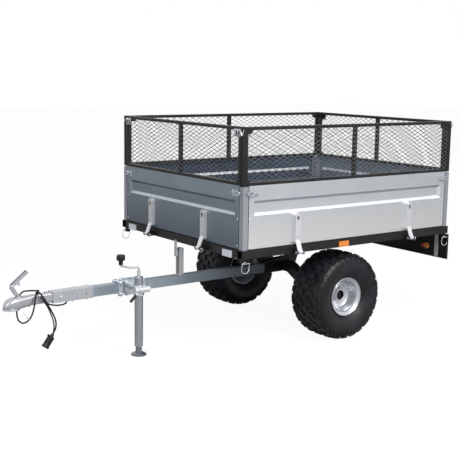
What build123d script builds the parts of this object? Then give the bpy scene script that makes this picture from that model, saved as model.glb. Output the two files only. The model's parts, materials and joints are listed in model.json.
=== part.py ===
from build123d import *
from math import pi, radians, tan
import os

os.makedirs("parts", exist_ok=True)

# All-terrain vehicle trailer with a tipping bed, four drop panels with mesh above them, and a jack.
# Millimetres. X forward to the coupling, Y to the trailer's left, Z up, the floor at zero.

# Load bed
bed_length = 1660.0
bed_width = 1290.0
frame_bottom = 586.0
frame_height = 46.0
rail_width = 46.0
rail_wall = 3.0
cross_member_count = 4
cross_member_width = 40.0
floor_sheet = 2.0
floor_rib_depth = 6.0
floor_rib_width = 60.0
floor_rib_count = 6

# Drop panels and the mesh above them
panel_height = 354.0
panel_depth = 25.0
panel_sheet = 2.0
panel_inset = 8.0
panel_lift = 5.0
panel_gap = 5.0
swage_height = 83.0
swage_depth = 15.0
swage_rise = 188.0
swage_end = 36.0
mesh_height = 318.0
mesh_rail = 18.0
mesh_post = 27.0
mesh_depth = 24.0
mesh_strand = 11.0
mesh_thick = 3.0
mesh_gusset = 45.0
gusset_thick = 4.0
diamond_length = 170.0
diamond_height = 78.0
post_size = 34.0
post_wall = 3.0
post_drop = 30.0

# Panel hinges and straps
hinge_out = 37.0
hinge_height = 597.0
hinge_pin = 10.0
barrel_radius = 11.0
lug_thick = 5.0
lug_gap = 3.0
lug_radius = 13.0
lug_below = 11.0
pin_tail = 8.0
pin_head = 3.0
strap_width = 36.0
strap_proud = 24.0
strap_sheet = 4.0
strap_low = 20.0
strap_high = 186.0
strap_knee = 12.0
strap_slot = 7.0
strap_slot_high = 158.0
strap_hole = 3.5
strap_hole_high = 48.0
side_strap_spread = 450.0
end_strap_spread = 280.0

# Corner latches on the panels
latch_rise = 312.0
latch_length = 54.0
latch_inset = 8.0
latch_tall = 34.0
latch_plate = 4.0
latch_reach = 14.0
latch_lever = 15.0
bail_wide = 18.0
bail_wire = 4.0
bail_root = 30.0

# Running gear
tyre_radius = 267.0
tyre_width = 268.0
tyre_bead = 101.6
tyre_flank = 80.0
wheel_track = 1018.0
axle_back = 820.0
tread_depth = 12.0
tread_pitches = 24
tread_block = 25.0
tread_stagger = 10.0
tread_skew = 5.0
tread_rows = ((-82.0, -46.0, 1), (-42.0, -3.0, -1), (3.0, 42.0, 1), (46.0, 82.0, -1))
crown_inset = 44.0
shoulder_drop = 28.0
shoulder_inset = 10.0
lug_root = 46.0
lug_drop = 52.0
rim_width = 203.0
rim_flange = 118.0
rim_wall = 5.0
rim_seat = 14.0
rim_step = 9.0
rim_lip = 5.0
rim_slope = 30.0
rim_disc_set = 30.0
rim_disc_rise = 16.0
rim_disc_wall = 6.0
hub_radius = 38.0
hub_bore = 27.0
hub_half = 46.0
hub_floor = 5.0
stub_radius = 17.5
stub_reach = 12.0
axle_size = 60.0
axle_arch = 93.0
axle_flat = 90.0
axle_shoulder = 270.0
axle_bend = 60.0
beam_inset = 165.0
bury = 5.0

# Drawbar, coupling and latch post
bar_size = 55.0
bar_wall = 4.0
bar_centre = 357.0
bar_front = 730.0
sleeve_rear = 579.0
sleeve_front = 827.0
sleeve_wall = 3.0
fit = 0.3
ball_radius = 25.0
ball_ahead = 1060.0
socket_depth = 42.0
cup_radius = 38.0
cup_skirt = 47.0
skirt_thick = 7.0
neck_rear = 745.0
neck_front = 960.0
neck_gap = 0.8
neck_round = 18.0
nose_drop = 41.0
nose_rise = 25.0
lever_width = 21.4
lever_sheet = 3.0
post_wide = 40.0
post_deep = 30.0
post_sheet = 4.0
post_top = 548.0
hook_wide = 16.0
hook_drop = 48.0
post_back = 6.0
ear_back = 40.0
ear_long = 18.0
ear_thick = 6.0
ear_rise = 6.0

# Bed pivot
pivot_back = 940.0
pivot_height = 545.0
pivot_radius = 15.0
pivot_span = 620.0
pivot_eye = 11.0
press_fit = 0.05
hanger_inset = 40.0
hanger_front = 60.0
hanger_rear = 25.0
runner_width = 30.0
arm_thick = 8.0
bracket_front = 650.0
bracket_rear = 885.0
bracket_eye = 30.0
bracket_cap = 12.0
bracket_lip = 3.0
stake_size = 24.0
stake_pin = 4.0
stake_pin_drop = 14.0
stake_pin_half = 24.0

# Jack
jack_ahead = 377.0
jack_side = 188.0
jack_radius = 24.0
jack_bottom = 53.0
jack_top = 450.0
leg_radius = 18.0
foot_radius = 44.0
foot_height = 20.0
foot_rim = 8.0
leg_top = 320.0
collar_low = 348.0
collar_high = 406.0
collar_wall = 6.0
clamp_plate = 8.0
clamp_height = 86.0
clamp_rear = 245.0
clamp_front = 379.0
clamp_strip = 28.0
clamp_strip_gap = 12.0
clamp_bolt = 5.0
boss_radius = 22.0
boss_back = 20.0
boss_height = 377.0
swivel_radius = 18.0
swivel_rear = 43.0
swivel_front = 50.0
swivel_out = 38.0
swivel_height = 386.0
swivel_gap = 8.0
bolt_end = 6.0
grip_radius = 8.0
crank_rod = 5.5
crank_rise = 56.0
crank_reach = 115.0
crank_lift = 20.0
spindle_radius = 9.0
spindle_height = 40.0
knob_radius = 24.0
knob_neck = 12.0
knob_low = 27.0
knob_stem = 24.0
knob_top = 57.0

# Lights
board_back = 12.0
board_low = 415.0
board_high = 578.0
board_depth = 14.0
board_sheet = 2.5
strip_place = 560.0
strip_wide = 30.0
strip_rise = 6.0
lamp_radius = 36.0
lamp_depth = 22.0
lamp_bezel = 4.0
lamp_height = 480.0
lamp_places = (560.0, 470.0)
reflector_sheet = 8.0
reflector_low = 3.0
white_place = 510.0
white_length = 80.0
white_height = 38.0
amber_back = 745.0
amber_length = 76.0
amber_height = 33.0

# Stations worked out from the sizes above
nose = ball_ahead + cup_skirt
tail = bed_length + hinge_out + lug_radius
front = (tail - nose) / 2
rear = front - bed_length
middle = (front + rear) / 2
half_width = bed_width / 2
frame_top = frame_bottom + frame_height
panel_low = frame_top + panel_lift
panel_top = panel_low + panel_height - panel_lift
mesh_top = panel_top + mesh_height
axle_x = front - axle_back
axle_z = tyre_radius
wheel_y = wheel_track / 2
pivot_x = front - pivot_back
jack_x = front + jack_ahead
bar_low = bar_centre - bar_size / 2
bar_high = bar_centre + bar_size / 2
bar_side = bar_size / 2
ball_x = front + ball_ahead
sleeve_low = bar_low - fit - sleeve_wall
nose_base = bar_centre - nose_drop
nose_crown = bar_centre + nose_rise
plate_far = bar_side + clamp_plate

AXIAL = (Align.CENTER, Align.CENTER, Align.MIN)


def block(x0, x1, y0, y1, z0, z1):
    """A box between six planes."""
    return Pos((x0 + x1) / 2, (y0 + y1) / 2, (z0 + z1) / 2) * Box(x1 - x0, y1 - y0, z1 - z0)


def rod(start, end, radius):
    """A round bar from one point to another."""
    a, b = Vector(*start), Vector(*end)
    return Plane(origin=a, z_dir=b - a) * Cylinder(radius, (b - a).length, align=AXIAL)


def plate(points, along, length):
    """A flat outline of points in space, given a thickness along a direction."""
    return extrude(make_face(Polyline(*points, close=True)), amount=length, dir=along)


def square_tube(start, size, wall, length, along="x"):
    """A square tube that starts with its axis at a point and runs along +X or +Y."""
    outer = Box(length, size, size, align=(Align.MIN, Align.CENTER, Align.CENTER))
    bore = size - 2 * wall
    inner = Box(length, bore, bore, align=(Align.MIN, Align.CENTER, Align.CENTER))
    turn = Rot(0, 0, 90) if along == "y" else Rot(0, 0, 0)
    return Pos(*start) * turn * (outer - inner)


def save(shape, name):
    """Writes one named sub-part."""
    export_step(shape, f"parts/{name}.step")


# The four sides: name, centre of the outer face, turn about Z, length of side, spread of its straps
side_face = half_width - panel_inset
end_face = bed_length / 2 - panel_inset
sides = [
    ("front", (middle + end_face, 0), -90, 2 * side_face, end_strap_spread),
    ("left", (middle, side_face), 0, 2 * end_face, side_strap_spread),
    ("right", (middle, -side_face), 180, 2 * end_face, side_strap_spread),
    ("tailgate", (middle - end_face, 0), 90, 2 * side_face, end_strap_spread),
]


def panel(length):
    """A folded sheet panel with a swage pressed into it. Its outer face is at y = 0, facing +Y."""
    half = length / 2 - post_size - panel_gap
    low, high = panel_low, panel_top
    body = block(-half, half, -panel_depth, 0, low, high)
    hollow = block(
        -half + panel_sheet, half - panel_sheet,
        -panel_depth - 1, -panel_sheet, low + panel_sheet, high - panel_sheet,
    )
    swage_z = frame_top + swage_rise + swage_height / 2
    swage_length = 2 * half - 2 * swage_end
    mouth = Plane(origin=(0, 0, swage_z), x_dir=(1, 0, 0), z_dir=(0, -1, 0))
    dent = mouth * extrude(Rectangle(swage_length, swage_height), amount=swage_depth, taper=45)
    deep = swage_depth + panel_sheet
    back_grow = 2 * panel_sheet * tan(radians(22.5))
    back_plane = Plane(origin=(0, -panel_sheet, swage_z), x_dir=(1, 0, 0), z_dir=(0, -1, 0))
    back_size = Rectangle(swage_length + back_grow, swage_height + back_grow)
    back = back_plane * extrude(back_size, amount=deep - panel_sheet, taper=45)
    return (body - (hollow - back)) - dent


def straps(spread):
    """Two channel straps on a panel's face, each with a tongue that reaches down to its hinge barrel."""
    pin_y = hinge_out + panel_inset
    group = []
    for at in (-spread, spread):
        half = strap_width / 2
        low, high = frame_top + strap_low, frame_top + strap_high
        outer = block(at - half, at + half, fit, strap_proud, low, high - half)
        crown = Pos(at, fit, high - half) * Rot(-90, 0, 0) * Cylinder(half, strap_proud - fit, align=AXIAL)
        inner = block(
            at - half + strap_sheet, at + half - strap_sheet,
            -1, strap_proud - strap_sheet, low - 1, high - half,
        )
        slot_z = frame_top + strap_slot_high
        slot = rod((at, -1, slot_z), (at, strap_proud + 1, slot_z), strap_slot)
        hole_z = frame_top + strap_hole_high
        small = rod((at, -1, hole_z), (at, strap_proud + 1, hole_z), strap_hole)
        channel = outer + crown - inner - slot - small
        knee = low + strap_knee
        tongue = plate(
            [
                (at - half + 2, strap_proud - strap_sheet, knee),
                (at - half + 2, strap_proud, knee),
                (at - half + 2, pin_y + 4, hinge_height + 4),
                (at - half + 2, pin_y - 2, hinge_height + 2),
            ],
            (1, 0, 0), strap_width - 4,
        )
        barrel_from, barrel_to = (at - half + 2, pin_y, hinge_height), (at + half - 2, pin_y, hinge_height)
        barrel = rod(barrel_from, barrel_to, barrel_radius)
        hole = rod(barrel_from, barrel_to, hinge_pin / 2 + fit)
        group.append(channel + tongue + barrel - hole)
    return group


def diamonds(length, low, high):
    """An expanded sheet: one plate with staggered rows of diamond openings."""
    sheet = Pos(0, 0, (low + high) / 2) * Box(length, mesh_thick, high - low)
    columns = max(1, round(length / diamond_length))
    rows = max(1, round((high - low) / diamond_height))
    wide, tall = length / columns, (high - low) / rows
    slope = (wide**2 + tall**2) ** 0.5
    open_x = wide / 2 - mesh_strand * slope / (2 * tall)
    open_z = tall / 2 - mesh_strand * slope / (2 * wide)
    outline = Polyline((open_x, 0), (0, open_z), (-open_x, 0), (0, -open_z), close=True)
    hole = Rot(90, 0, 0) * extrude(make_face(outline), amount=mesh_thick, both=True)
    places = []
    for row in range(2 * rows - 1):
        shift = row % 2
        for column in range(columns - 1 + shift):
            x = -length / 2 + wide * (column + 1 - shift / 2)
            places.append(Pos(x, 0, low + tall * (row + 1) / 2))
    return sheet - [place * hole for place in places]


def mesh_panel(length, half_post_gap):
    """A framed mesh that stands on a panel, with a post at each end, one in the middle and corner gussets."""
    half = length / 2 - half_post_gap
    low, high = panel_top, mesh_top
    reach = half - mesh_post
    shape = block(-half, half, -mesh_depth, 0, low, high) - block(
        -reach, reach, -mesh_depth - 1, 1, low + mesh_rail, high - mesh_rail
    )
    grille_back = -mesh_thick
    shape = shape + block(-mesh_post / 2, mesh_post / 2, -mesh_depth, grille_back, low + 1, high - 1)
    grille = diamonds(2 * reach + 2, low + mesh_rail - 1, high - mesh_rail + 1)
    shape = shape + Pos(0, -mesh_thick / 2, 0) * grille
    for way_x in (-1, 1):
        for corner_z, way_z in ((low + mesh_rail, 1), (high - mesh_rail, -1)):
            outline = [
                (way_x * reach, grille_back, corner_z),
                (way_x * (reach - mesh_gusset), grille_back, corner_z),
                (way_x * reach, grille_back, corner_z + way_z * mesh_gusset),
            ]
            shape = shape + plate(outline, (0, -1, 0), gusset_thick)
    return shape


def side_lugs(spread):
    """Pairs of lugs on a rail for one side's hinge pins. The side's outer face is at y = 0."""
    pin_y = hinge_out + panel_inset
    group = []
    for at in (-spread, spread):
        for way in (-1, 1):
            inner = at + way * (strap_width / 2 - 2 + lug_gap)
            outer = inner + way * lug_thick
            low_x = min(inner, outer)
            high_x = low_x + lug_thick
            lug_low, lug_high = hinge_height - lug_below, hinge_height + lug_radius
            arm = block(low_x, high_x, panel_inset, pin_y, lug_low, lug_high)
            eye = rod((low_x, pin_y, hinge_height), (high_x, pin_y, hinge_height), lug_radius)
            hole = rod((low_x - 1, pin_y, hinge_height), (high_x + 1, pin_y, hinge_height), hinge_pin / 2)
            group.append(arm + eye - hole)
    return group


def hinge_pins(spread):
    """One pin for each strap, with a head, through both lugs."""
    pin_y = hinge_out + panel_inset
    reach = strap_width / 2 - 2 + lug_gap + lug_thick
    group = []
    for at in (-spread, spread):
        near, far = at - reach - pin_tail, at + reach
        pin = rod((near, pin_y, hinge_height), (far, pin_y, hinge_height), hinge_pin / 2)
        head = rod((far, pin_y, hinge_height), (far + 4, pin_y, hinge_height), hinge_pin / 2 + pin_head)
        group.append(pin + head)
    return group


def corner_latches(length):
    """An over-centre latch at each end of a panel, reaching across the gap to the corner post."""
    half = length / 2 - post_size - panel_gap
    latch_z = frame_top + latch_rise
    tall = latch_tall / 2
    group = []
    for way in (-1, 1):
        ends = (way * (half - latch_inset), way * (half - latch_inset - latch_length))
        x0, x1 = min(ends), max(ends)
        base = block(x0, x1, fit, latch_plate, latch_z - tall, latch_z + tall)
        for slot_z in (latch_z - tall + 5, latch_z + tall - 5):
            base = base - block(x0 + 12, x1 - 12, 0, latch_plate + 1, slot_z - 2, slot_z + 2)
        lever = plate(
            [
                (x0 + 8, latch_plate, latch_z - 10), (x0 + 8, latch_lever, latch_z - 4),
                (x0 + 8, latch_lever, latch_z + 4), (x0 + 8, latch_plate, latch_z + 10),
            ],
            (1, 0, 0), latch_length - 16,
        )
        bail_ends = (way * (half - bail_root), way * (half + panel_gap + latch_reach))
        b0, b1 = min(bail_ends), max(bail_ends)
        outer, inner = bail_wide / 2, bail_wide / 2 - bail_wire
        bail_y = latch_plate + bail_wire - 1
        bail = block(b0, b1, bail_y, bail_y + bail_wire, latch_z - outer, latch_z + outer) - block(
            b0 + bail_wire, b1 - bail_wire, 0, latch_lever + 1, latch_z - inner, latch_z + inner
        )
        group.append(base + lever + bail)
    return group


# Drop panels, their straps, latches and mesh
pins = []
lugs = []
for name, centre, turn, length, spread in sides:
    seat = Pos(centre[0], centre[1], 0) * Rot(0, 0, turn)
    # The side meshes run to the corners and the end meshes stand between them
    end_gap = 0 if name in ("left", "right") else mesh_depth + panel_gap
    save(seat * panel(length), f"{name}_panel")
    save(Compound(children=[seat * strap for strap in straps(spread)]), f"{name}_straps")
    save(Compound(children=[seat * latch for latch in corner_latches(length)]), f"{name}_latches")
    save(seat * mesh_panel(length, end_gap), f"{name}_mesh")
    lugs += [seat * lug for lug in side_lugs(spread)]
    pins += [seat * pin for pin in hinge_pins(spread)]
save(Compound(children=pins), "hinge_pins")
save(Compound(children=lugs), "hinge_lugs")



def rail(x0, x1, y0, y1):
    """A hollow rail between four planes, open at the ends of its longer way."""
    outer = block(x0, x1, y0, y1, frame_bottom, frame_top)
    long_x = x1 - x0 > y1 - y0
    cut_x, cut_y = (0, rail_wall) if long_x else (rail_wall, 0)
    return outer - block(
        x0 + cut_x, x1 - cut_x, y0 + cut_y, y1 - cut_y,
        frame_bottom + rail_wall, frame_top - rail_wall,
    )


# Bed frame: two side rails and two end rails between them
inner_y = half_width - rail_width
rails = [
    rail(rear, front, inner_y, half_width),
    rail(rear, front, -half_width, -inner_y),
    rail(front - rail_width, front, -inner_y + fit, inner_y - fit),
    rail(rear, rear + rail_width, -inner_y + fit, inner_y - fit),
]
save(Compound(children=rails), "bed_rails")

# Cross members under the floor, between the side rails
members = []
bay = (bed_length - 2 * rail_width) / (cross_member_count + 1)
member_top = frame_top - floor_sheet - floor_rib_depth - fit
for index in range(cross_member_count):
    x = front - rail_width - bay * (index + 1)
    x0, x1 = x - cross_member_width / 2, x + cross_member_width / 2
    outer = block(x0, x1, -inner_y, inner_y, frame_bottom, member_top)
    inner = block(
        x0 + rail_wall, x1 - rail_wall,
        -inner_y, inner_y, frame_bottom + rail_wall, member_top - rail_wall,
    )
    members.append(outer - inner)
save(Compound(children=members), "bed_cross_members")

# Floor sheet with ribs pressed down along its length, lying between the rails
floor_top = frame_top
floor = block(
    rear + rail_width + fit, front - rail_width - fit, -inner_y + fit, inner_y - fit,
    floor_top - floor_sheet, floor_top,
)
rib_pitch = 2 * inner_y / (floor_rib_count + 1)
for index in range(floor_rib_count):
    y = -inner_y + rib_pitch * (index + 1)
    x0, x1 = rear + rail_width + 30, front - rail_width - 30
    drop = block(
        x0, x1, y - floor_rib_width / 2, y + floor_rib_width / 2,
        floor_top - floor_sheet - floor_rib_depth, floor_top - floor_sheet,
    )
    trough = block(
        x0 + floor_sheet, x1 - floor_sheet,
        y - floor_rib_width / 2 + floor_sheet, y + floor_rib_width / 2 - floor_sheet,
        floor_top - floor_rib_depth, floor_top + 1,
    )
    floor = floor + drop - trough
save(floor, "bed_floor")

# Corner posts, which stand in sockets inside the frame's corners and stick out below them
posts = []
for way_x in (-1, 1):
    for way_y in (-1, 1):
        x = middle + way_x * (end_face - post_size / 2)
        y = way_y * (side_face - post_size / 2)
        post = block(
            x - post_size / 2, x + post_size / 2, y - post_size / 2, y + post_size / 2,
            frame_top + fit, panel_top - panel_gap,
        )
        core = block(
            x - post_size / 2 + post_wall, x + post_size / 2 - post_wall,
            y - post_size / 2 + post_wall, y + post_size / 2 - post_wall,
            frame_top, panel_top,
        )
        posts.append(post - core)
save(Compound(children=posts), "corner_posts")

stakes = []
for way_x in (-1, 1):
    for way_y in (-1, 1):
        x = middle + way_x * (end_face - post_size / 2)
        y = way_y * (side_face - post_size / 2)
        half = stake_size / 2
        stake = block(x - half, x + half, y - half, y + half, frame_bottom - post_drop, frame_bottom - fit)
        pin_z = frame_bottom - stake_pin_drop
        cross_pin = rod((x, y - stake_pin_half, pin_z), (x, y + stake_pin_half, pin_z), stake_pin)
        stakes.append(stake + cross_pin)
save(Compound(children=stakes), "post_stakes")

# Bed pivot: a cross tube in two lugs under the frame, held by two arms on the axle
pivot = rod((pivot_x, -pivot_span / 2, pivot_height), (pivot_x, pivot_span / 2, pivot_height), pivot_radius)
save(pivot, "pivot_tube")
hangers = []
for way in (-1, 1):
    inner = way * (pivot_span / 2 - hanger_inset)
    y0 = min(inner, inner + way * arm_thick)
    y1 = y0 + arm_thick
    eye_radius = pivot_radius + pivot_eye
    web = plate(
        [
            (pivot_x - hanger_rear, y0, frame_bottom + 1), (pivot_x + hanger_front, y0, frame_bottom + 1),
            (pivot_x + eye_radius, y0, pivot_height - 8), (pivot_x - eye_radius, y0, pivot_height - 8),
        ],
        (0, 1, 0), arm_thick,
    )
    eye = rod((pivot_x, y0, pivot_height), (pivot_x, y1, pivot_height), eye_radius)
    hangers.append(web + eye)
runners = []
for way in (-1, 1):
    y = way * (pivot_span / 2 - hanger_inset + arm_thick / 2)
    x0 = front - rail_width - bay * 3 + cross_member_width / 2
    x1 = front - rail_width - bay * 2 - cross_member_width / 2
    runners.append(block(x0, x1, y - runner_width / 2, y + runner_width / 2, frame_bottom, member_top))
tube_ends = (pivot_x, -pivot_span / 2 - 1, pivot_height), (pivot_x, pivot_span / 2 + 1, pivot_height)
tube_bore = rod(*tube_ends, pivot_radius + press_fit)
save(Compound(children=[a + b - tube_bore for a, b in zip(hangers, runners)]), "pivot_hangers")

# Axle: a cranked square beam with a round stub at each end
beam_end = wheel_y - beam_inset
beam_path = FilletPolyline(
    (axle_x, -beam_end, axle_z), (axle_x, -axle_shoulder, axle_z),
    (axle_x, -axle_flat, axle_z + axle_arch), (axle_x, axle_flat, axle_z + axle_arch),
    (axle_x, axle_shoulder, axle_z), (axle_x, beam_end, axle_z),
    radius=axle_bend,
)
beam_start = Plane(origin=(axle_x, -beam_end, axle_z), x_dir=(1, 0, 0), z_dir=(0, 1, 0))
beam = sweep(beam_start * Rectangle(axle_size, axle_size), path=beam_path)
for way in (-1, 1):
    stub_root = (axle_x, way * (beam_end - bury), axle_z)
    stub_tip = (axle_x, way * (wheel_y + stub_reach), axle_z)
    beam = beam + rod(stub_root, stub_tip, stub_radius)
save(beam, "axle_beam")

# Bracket plates each side of the drawbar, over the axle, with arms up to the bed pivot
beam_top = axle_z + axle_arch + axle_size / 2
beam_half = axle_size / 2 + fit
sides_of_bar = []
for way in (-1, 1):
    inner = way * (bar_side + fit)
    y0 = min(inner, inner + way * arm_thick)
    outline = plate(
        [
            (front - bracket_front, y0, bar_low - bracket_lip),
            (front - bracket_front, y0, bar_high + bracket_cap),
            (front - bracket_front - 60, y0, beam_top + 14), (axle_x - beam_half - 10, y0, beam_top + 22),
            (pivot_x + bracket_eye, y0, pivot_height), (pivot_x - bracket_eye, y0, pivot_height),
            (front - bracket_rear - 24, y0, bar_high + 10), (front - bracket_rear, y0, bar_low - bracket_lip),
        ],
        (0, 1, 0), arm_thick,
    )
    y1 = y0 + arm_thick
    notch = block(axle_x - beam_half, axle_x + beam_half, y0 - 1, y1 + 1, bar_low - 9, beam_top + fit)
    eye = rod((pivot_x, y0, pivot_height), (pivot_x, y1, pivot_height), bracket_eye)
    hole = rod((pivot_x, y0 - 1, pivot_height), (pivot_x, y1 + 1, pivot_height), pivot_radius + fit)
    sides_of_bar.append(outline + eye - hole - notch)
save(Compound(children=sides_of_bar), "axle_bracket")

# Drawbar and the sleeve bolted over its front end
bar_rear = -axle_back + beam_half
drawbar = square_tube((front + bar_rear, 0, bar_centre), bar_size, bar_wall, bar_front - bar_rear)
save(drawbar, "drawbar_tube")
sleeve_size = bar_size + 2 * (fit + sleeve_wall)
sleeve_length = sleeve_front - sleeve_rear
sleeve = square_tube((front + sleeve_rear, 0, bar_centre), sleeve_size, sleeve_wall, sleeve_length)
save(sleeve, "coupling_sleeve")

# Coupling head: a round-cornered neck that stands in the sleeve's mouth, and a nose over the ball socket
neck_size = bar_size + 2 * fit - 2 * neck_gap
neck_plane = Plane(origin=(front + neck_rear, 0, bar_centre), x_dir=(0, 1, 0), z_dir=(1, 0, 0))
neck_face = RectangleRounded(neck_size, neck_size, neck_round)
neck = neck_plane * extrude(neck_face, amount=neck_front - neck_rear)
neck_low = bar_centre - neck_size / 2
neck_high = bar_centre + neck_size / 2
nose_rear = front + neck_front - 30
nose_side = plate(
    [
        (nose_rear, -60, neck_low), (nose_rear, -60, neck_high),
        (ball_x - 30, -60, nose_crown), (ball_x - 4, -60, nose_crown - 3),
        (ball_x + 20, -60, nose_crown - 14), (ball_x + 36, -60, nose_crown - 34),
        (ball_x + 42, -60, nose_base + 8), (ball_x + 42, -60, nose_base),
        (ball_x - cup_radius, -60, nose_base),
    ],
    (0, 1, 0), 120,
)
nose_depth = nose_crown - nose_base
nose_plan = Pos(ball_x, 0, nose_base - 1) * Cylinder(cup_radius, nose_depth + 10, align=AXIAL)
nose_flank = [
    (nose_rear, -neck_size / 2, nose_base - 1), (ball_x, -cup_radius, nose_base - 1),
    (ball_x, cup_radius, nose_base - 1), (nose_rear, neck_size / 2, nose_base - 1),
]
nose_plan = nose_plan + plate(nose_flank, (0, 0, 1), nose_depth + 10)
arch_plane = Plane(origin=(nose_rear - 1, 0, nose_base), x_dir=(0, 1, 0), z_dir=(1, 0, 0))
arch_face = RectangleRounded(2 * cup_radius + 1, 2 * nose_depth, neck_round + 6)
nose_arch = arch_plane * extrude(arch_face, amount=160)
skirt = Pos(ball_x, 0, nose_base) * Cylinder(cup_skirt, skirt_thick, align=AXIAL)
socket = Pos(ball_x, 0, nose_base - 1) * Cylinder(ball_radius + 0.5, socket_depth + 1, align=AXIAL)
ear_x = ball_x - ear_back
ear_top = nose_crown + ear_rise
head = neck + (nose_side & nose_plan & nose_arch) + skirt
for way in (-1, 1):
    ear_y = way * (lever_width - ear_thick) / 2
    head = head + block(
        ear_x - ear_long / 2, ear_x + ear_long / 2, ear_y - ear_thick / 2, ear_y + ear_thick / 2,
        nose_crown - 14, ear_top,
    )
save(head - socket, "coupling_head")

# Coupling lever: a folded channel link on the ears, and a long channel handle that lies back from it
lever_top = ear_top + fit


def channel_strip(points):
    """A channel between four points of its side outline, open on the side of the last two."""
    half = lever_width / 2
    outer = plate([(x, -half, z) for x, z in points], (0, 1, 0), lever_width)
    (ax, az), (dx, dz) = points[0], points[3]
    skin = Vector(ax - dx, 0, az - dz).normalized() * lever_sheet
    inner = [(x - skin.X, z - skin.Z) for x, z in points]
    room = plate([(x, -half + lever_sheet, z) for x, z in inner], (0, 1, 0), lever_width - 2 * lever_sheet)
    return outer - room


link = channel_strip([
    (ear_x + 14, lever_top), (ear_x + 44, lever_top + 44),
    (ear_x + 26, lever_top + 54), (ear_x - 8, lever_top),
])
handle = channel_strip([
    (ear_x + 26, lever_top + 54), (ear_x - 62, lever_top + 122),
    (ear_x - 50, lever_top + 134), (ear_x + 44, lever_top + 62),
])
knee_pin = rod(
    (ear_x + 33, -lever_width / 2, lever_top + 54), (ear_x + 33, lever_width / 2, lever_top + 54), 8
)
save(link + handle + knee_pin, "coupling_lever")

# Jack bracket: a plate each side of the drawbar, a strip ahead of it, four bolts and the boss of the swivel
clamp_low, clamp_high = bar_centre - clamp_height / 2, bar_centre + clamp_height / 2
strip_rear = clamp_front + clamp_strip_gap
strip_front = strip_rear + clamp_strip
bracket = []
for way in (-1, 1):
    y0 = min(way * bar_side, way * plate_far)
    y1 = y0 + clamp_plate
    bracket.append(block(front + clamp_rear, front + clamp_front, y0, y1, clamp_low, clamp_high))
    bracket.append(block(front + strip_rear, front + strip_front, y0, y1, clamp_low, clamp_high))
bolt_y = plate_far + bolt_end
for at in (clamp_rear + clamp_strip / 2, clamp_front - clamp_strip / 2, strip_rear + clamp_strip / 2):
    for z in (bar_low - fit - clamp_bolt, bar_high + fit + clamp_bolt):
        bracket.append(rod((front + at, -bolt_y, z), (front + at, bolt_y, z), clamp_bolt))
bracket_body = bracket[0]
for member in bracket[1:]:
    bracket_body = bracket_body + member
boss_x = jack_x - boss_back
collar_radius = jack_radius + fit + collar_wall
boss_end = jack_side - collar_radius - swivel_gap
boss = rod((boss_x, plate_far, boss_height), (boss_x, boss_end - fit, boss_height), boss_radius)
save(bracket_body + boss, "jack_bracket")

# Jack clamp: a collar round the jack's tube, the swivel's near half and the cross body with its lever
collar = Pos(jack_x, jack_side, collar_low) * Cylinder(collar_radius, collar_high - collar_low, align=AXIAL)
swivel_half = rod((boss_x, boss_end, boss_height), (boss_x, jack_side, boss_height), boss_radius + 3)
swivel_y = jack_side + swivel_out
cross_body = rod(
    (jack_x - swivel_rear, swivel_y, swivel_height), (jack_x + swivel_front, swivel_y, swivel_height),
    swivel_radius,
)
arm_from = (jack_x + 30, swivel_y + swivel_radius - 4, swivel_height - 6)
arm_to = (jack_x + 56, swivel_y + swivel_radius + 6, swivel_height - 22)
grip_to = (jack_x + 98, swivel_y + swivel_radius + 22, swivel_height - 48)
clamp_arm = rod(arm_from, arm_to, clamp_bolt)
room_low, room_high = (jack_x, jack_side, collar_low - 60), (jack_x, jack_side, collar_high + 60)
tube_room = rod(room_low, room_high, jack_radius + fit)
save(collar + swivel_half + cross_body + clamp_arm - tube_room, "jack_clamp")
grip_room = rod(arm_from, arm_to, clamp_bolt + fit)
save(rod(arm_to, grip_to, grip_radius) - grip_room, "jack_grip")

# Jack tube with its crank, and the leg that winds out of it
tube = Pos(jack_x, jack_side, jack_bottom) * (
    Cylinder(jack_radius, jack_top - jack_bottom, align=AXIAL)
    - Pos(0, 0, -1) * Cylinder(leg_radius + fit, jack_top - jack_bottom - 4, align=AXIAL)
)
save(tube, "jack_tube")
crank_z = jack_top + crank_rise
spindle = rod((jack_x, jack_side, jack_top), (jack_x, jack_side, jack_top + spindle_height), spindle_radius)
knob_x = jack_x + crank_reach
knob_z = crank_z + crank_lift + crank_rod
crank_path = FilletPolyline(
    (jack_x, jack_side, jack_top + spindle_height - 2), (jack_x, jack_side, crank_z),
    (jack_x + crank_reach / 2, jack_side, crank_z + 4), (knob_x, jack_side, crank_z + crank_lift),
    radius=[12, 60],
)
crank_start = Plane(origin=(jack_x, jack_side, jack_top + spindle_height - 2), z_dir=(0, 0, 1))
crank = spindle + sweep(crank_start * Circle(crank_rod), path=crank_path)
knob_peg = rod((knob_x, jack_side, crank_z + crank_lift - bury), (knob_x, jack_side, knob_z), crank_rod)
save(crank + knob_peg, "jack_crank")
cap_low, cap_high = crank_z + knob_low + knob_stem, crank_z + knob_low + knob_top
stem = rod((knob_x, jack_side, knob_z), (knob_x, jack_side, cap_low), knob_neck)
cap = rod((knob_x, jack_side, cap_low), (knob_x, jack_side, cap_high), knob_radius)
save(stem + cap, "jack_knob")
leg = Pos(jack_x, jack_side, foot_height) * Cylinder(leg_radius, leg_top - foot_height, align=AXIAL)
foot = Pos(jack_x, jack_side, 0) * (
    Cylinder(foot_radius, foot_rim, align=AXIAL)
    + Pos(0, 0, foot_rim) * Cone(foot_radius, leg_radius + 4, foot_height - foot_rim, align=AXIAL)
)
save(leg + foot, "jack_leg")

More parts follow.
